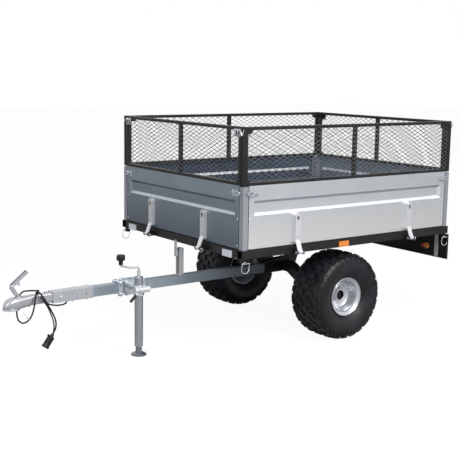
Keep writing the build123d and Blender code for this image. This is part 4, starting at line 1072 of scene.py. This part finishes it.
def build_jack_details():
    """The crank's knob with a rounded cap, the clamp's nuts and the cap on the jack's top."""
    knob_low, knob_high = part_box("jack_knob")
    knob_x = (knob_low.x + knob_high.x) / 2
    tall = knob_high.z - knob_low.z
    profile = softened(np.array([
        (0.0, 0.0), (0.0105, 0.0), (0.012, 0.002), (0.012, tall - 0.036), (0.015, tall - 0.033),
        (0.0225, tall - 0.031), (0.024, tall - 0.028), (0.024, tall - 0.007), (0.0215, tall - 0.001),
        (0.015, tall), (0.0, tall),
    ]), 1)
    knob = turned(profile, (knob_x, jack_y, knob_low.z), count=40)
    piece("jack_knob_cap", [knob], "jack", plastic, replaces=("jack_knob",))
    parts = [
        bolt((jack_x - 0.02, jack_y + 0.027, 0.398), (0, 1, 0), *m8_low_head),
        bolt((jack_x + 0.034, jack_y + 0.0555, 0.384), (0, 1, 0), *m10_low_nut),
    ]
    piece("jack_clamp_nuts", parts, "chassis", fittings)
    cap = turned(flat_cap(0.025, 0.006, 0.002), (jack_x, jack_y, jack_high.z - 0.003), count=40)
    piece("jack_top_cap", [cap], "jack", tube_steel)


build_wheels()
build_panel_details()
build_mesh_catches()
build_frame_cables()
build_corner_rings()
build_rear()
build_jack_details()
build_head()
build_drawbar_details()
build_lever_details()
build_cord()

# Camera, which stands where the photograph was taken from
camera_place = Vector((3.3784, 4.6910, 1.6120))
camera_yaw, camera_pitch, camera_roll = 0.9351, 0.1669, 0.0158
photo_width, focal_pixels = 458.0, 954.6
sensor = 36.0


def build_camera():
    """A camera that looks along (-cos yaw cos pitch, -sin yaw cos pitch, -sin pitch), rolled about that
    line."""
    flat = math.cos(camera_pitch)
    look = Vector((-math.cos(camera_yaw) * flat, -math.sin(camera_yaw) * flat, -math.sin(camera_pitch)))
    level = look.cross(Vector((0, 0, 1))).normalized()
    above = level.cross(look)
    c, s = math.cos(camera_roll), math.sin(camera_roll)
    right, up = c * level + s * above, -s * level + c * above
    data = bpy.data.cameras.new("camera")
    data.sensor_width = sensor
    data.lens = focal_pixels / photo_width * sensor
    data.clip_end = 60.0
    camera = stand("camera", data)
    matrix = Matrix((right, up, -look)).transposed().to_4x4()
    matrix.translation = camera_place
    camera.matrix_world = matrix
    bpy.context.scene.camera = camera


def mix_shaders(tree, share, first, second, out):
    """Two shaders mixed by a share, and fed to the output's surface."""
    mix = node(tree, "ShaderNodeMixShader")
    for source, socket in zip((share, first.outputs[0], second.outputs[0]), mix.inputs):
        feed(tree, source, socket)
    feed(tree, mix.outputs[0], out.inputs["Surface"])


def build_floor():
    """A wide pale floor that reads as white where it isn't in shadow."""
    reach = 30.0
    corners = np.array([[(x, y, 0.0) for x in (-reach, reach)] for y in (-reach, reach)])
    points, faces = grid(corners)
    mesh = bpy.data.meshes.new("floor")
    mesh.from_pydata(points.tolist(), [], faces)
    floor = stand("floor", mesh)
    made, tree, shader = new_material("pale_floor", (0.50, 0.50, 0.50), Roughness=0.9)
    white_share, brightness = 0.86, 1.10
    seen = node(tree, "ShaderNodeLightPath").outputs["Is Camera Ray"]
    share = maths(tree, "MULTIPLY", seen, white_share)
    glow = node(tree, "ShaderNodeEmission", Strength=brightness)
    mix_shaders(tree, share, shader, glow, tree.nodes["Material Output"])
    mesh.materials.append(made)


def build_world():
    """Grey light on the object, and white where the camera, a reflection or a clear part sees past it."""
    world = bpy.data.worlds.new("studio")
    world.use_nodes = True
    tree = world.node_tree
    tree.nodes.clear()
    out = node(tree, "ShaderNodeOutputWorld")
    soft = node(tree, "ShaderNodeBackground", Color=(0.78, 0.80, 0.83), Strength=0.42)
    white = node(tree, "ShaderNodeBackground", Color=(1, 1, 1), Strength=1.0)
    rays = node(tree, "ShaderNodeLightPath").outputs
    clear = maths(tree, "MAXIMUM", rays["Is Glossy Ray"], rays["Is Transmission Ray"])
    mix_shaders(tree, maths(tree, "MAXIMUM", rays["Is Camera Ray"], clear), soft, white, out)
    bpy.context.scene.world = world


def build_lights():
    """Two large soft lamps: a key lamp from the trailer's left and a weaker one from ahead."""
    rows = [
        ("key", (0.4, 4.4, 4.6), (-0.4, 0.0, 0.6), 3.0, 390.0),
        ("fill", (5.0, -0.6, 2.6), (0.2, 0.0, 0.5), 3.0, 40.0),
    ]
    for name, at, aim, size, watts in rows:
        data = bpy.data.lights.new(name, "AREA")
        data.shape = "DISK"
        data.size = size
        data.energy = watts
        lamp = stand(name, data)
        lamp.location = at
        lamp.rotation_mode = "QUATERNION"
        lamp.rotation_quaternion = (Vector(aim) - Vector(at)).to_track_quat("-Z", "Y")


build_camera()
build_floor()
build_world()
build_lights()
bpy.context.scene.view_settings.view_transform = "Standard"
